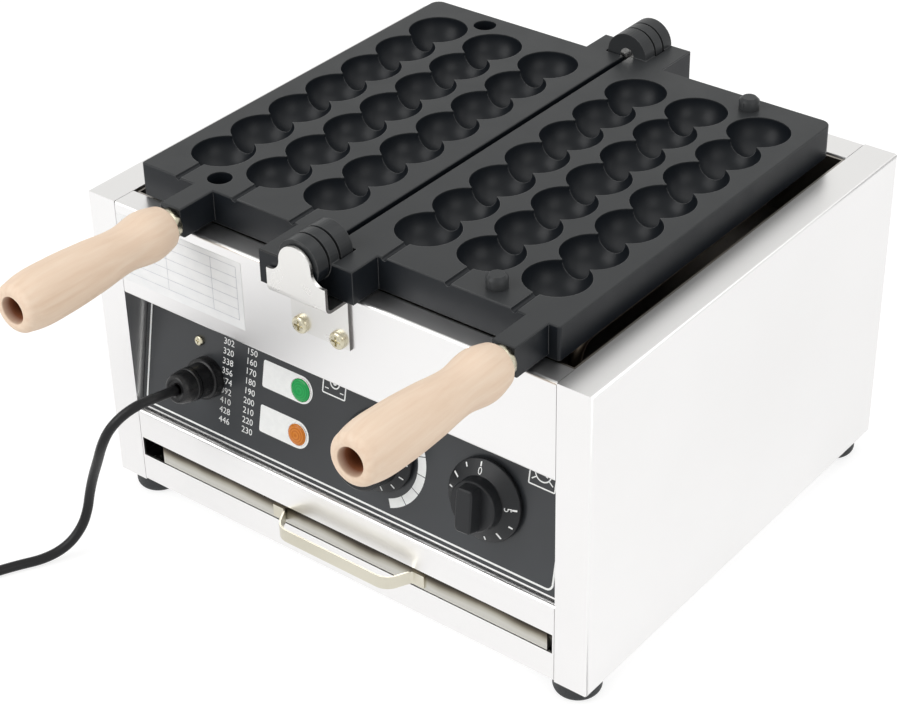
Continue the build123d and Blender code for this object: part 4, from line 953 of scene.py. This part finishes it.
pin_aside = 9.5
pins = [
    turned_grid(pin_profile, plug_start + mm * (plug_length * tail + aside * plug_side), tail, 32)
    for aside in (-pin_aside, pin_aside)
]
plug_pins = grid_mesh("plug_pins", pins, bright, "case")

# Floor, light and camera: a white table that fades into a white room, large soft lamps, and the
# camera where the machine was photographed from.
floor_size = 8.0
across, back = np.meshgrid((-floor_size, floor_size), (-floor_size, floor_size))
floor_mesh = bpy.data.meshes.new("floor")
floor_corners = np.stack([across, back, np.full(across.shape, -0.0002)], axis=-1).reshape(-1, 3)
floor_mesh.from_pydata(floor_corners.tolist(), [], [(0, 1, 3, 2)])
floor = bpy.data.objects.new("floor", floor_mesh)
bpy.context.scene.collection.objects.link(floor)


def seen_directly(tree):
    """One where a ray from the camera, a mirror or a glass arrives, nought for soft light."""
    path = tree.nodes.new("ShaderNodeLightPath")
    seen = path.outputs["Is Camera Ray"]
    for kind in ("Is Glossy Ray", "Is Transmission Ray"):
        either = tree.nodes.new("ShaderNodeMath")
        either.operation = "MAXIMUM"
        tree.links.new(seen, either.inputs[0])
        tree.links.new(path.outputs[kind], either.inputs[1])
        seen = either.outputs["Value"]
    return seen


table = bpy.data.materials.new("table_white")
table.use_nodes = True
tree = table.node_tree
tree.nodes.remove(tree.nodes["Principled BSDF"])
soft = tree.nodes.new("ShaderNodeBsdfDiffuse")
soft.inputs["Color"].default_value = (0.80, 0.80, 0.80, 1)
shadow = tree.nodes.new("ShaderNodeBsdfDiffuse")
shadow.inputs["Color"].default_value = (0.34, 0.34, 0.34, 1)
glow = tree.nodes.new("ShaderNodeEmission")
glow.inputs["Strength"].default_value = 0.78
both = tree.nodes.new("ShaderNodeAddShader")
choose = tree.nodes.new("ShaderNodeMixShader")
tree.links.new(shadow.outputs["BSDF"], both.inputs[0])
tree.links.new(glow.outputs["Emission"], both.inputs[1])
tree.links.new(seen_directly(tree), choose.inputs["Fac"])
tree.links.new(soft.outputs["BSDF"], choose.inputs[1])
tree.links.new(both.outputs["Shader"], choose.inputs[2])
tree.links.new(choose.outputs["Shader"], tree.nodes["Material Output"].inputs["Surface"])
floor_mesh.materials.append(table)

room = bpy.data.worlds.new("room")
bpy.context.scene.world = room
room.use_nodes = True
tree = room.node_tree
background = tree.nodes["Background"]
direction = tree.nodes.new("ShaderNodeTexCoord")
parts = tree.nodes.new("ShaderNodeSeparateXYZ")
ramp = tree.nodes.new("ShaderNodeValToRGB")
tree.links.new(direction.outputs["Generated"], parts.inputs["Vector"])
tree.links.new(parts.outputs["Z"], ramp.inputs["Fac"])
room_tones = ((0.0, 0.97), (0.22, 0.95), (0.48, 0.92), (0.62, 0.88), (1.0, 0.92))
for place, tone in room_tones[2:]:
    ramp.color_ramp.elements.new(place)
for element, (place, tone) in zip(ramp.color_ramp.elements, room_tones):
    element.position = place
    element.color = (tone, tone, tone * 0.985, 1)
path = tree.nodes.new("ShaderNodeLightPath")
white = tree.nodes.new("ShaderNodeMix")
white.data_type = "RGBA"
white.inputs[7].default_value = (1, 1, 1, 1)
tree.links.new(path.outputs["Is Camera Ray"], white.inputs["Factor"])
tree.links.new(ramp.outputs["Color"], white.inputs[6])
tree.links.new(white.outputs[2], background.inputs["Color"])
level = tree.nodes.new("ShaderNodeMapRange")
level.inputs["To Min"].default_value = 0.60
level.inputs["To Max"].default_value = 1.0
tree.links.new(seen_directly(tree), level.inputs["Value"])
tree.links.new(level.outputs["Result"], background.inputs["Strength"])

for name, place, power, size in (
    ("key", (-0.8, -1.5, 1.3), 18.0, 1.4),
    ("top", (0.5, 0.6, 1.9), 9.0, 1.6),
    ("right", (1.8, -0.4, 1.0), 7.0, 1.2),
):
    light = bpy.data.lights.new(name, "AREA")
    light.energy = power
    light.size = size
    lamp = bpy.data.objects.new(name, light)
    lamp.location = place
    lamp.rotation_euler = (-Vector(place) + Vector((0, 0, 0.15))).to_track_quat("-Z", "Y").to_euler()
    bpy.context.scene.collection.objects.link(lamp)

lens_data = bpy.data.cameras.new("camera")
lens_data.lens = 88.63
lens_data.sensor_width = 36.0
image_width, image_height = 900, 705
optical_x, optical_y = 450.5, 351.2
lens_data.shift_x = (image_width / 2 - optical_x) / image_width
lens_data.shift_y = (optical_y - image_height / 2) / image_width
camera = bpy.data.objects.new("camera", lens_data)
bpy.context.scene.collection.objects.link(camera)
camera_axes = (
    (0.78818248, 0.61516336, -0.01850456),
    (-0.32711655, 0.44420985, 0.83406977),
    (0.52130907, -0.65134603, 0.55134853),
)
camera_place = Matrix.Translation((0.73193, -0.89822, 0.89160))
camera.matrix_world = camera_place @ Matrix(camera_axes).transposed().to_4x4()
bpy.context.scene.camera = camera
bpy.context.scene.view_settings.view_transform = "Standard"
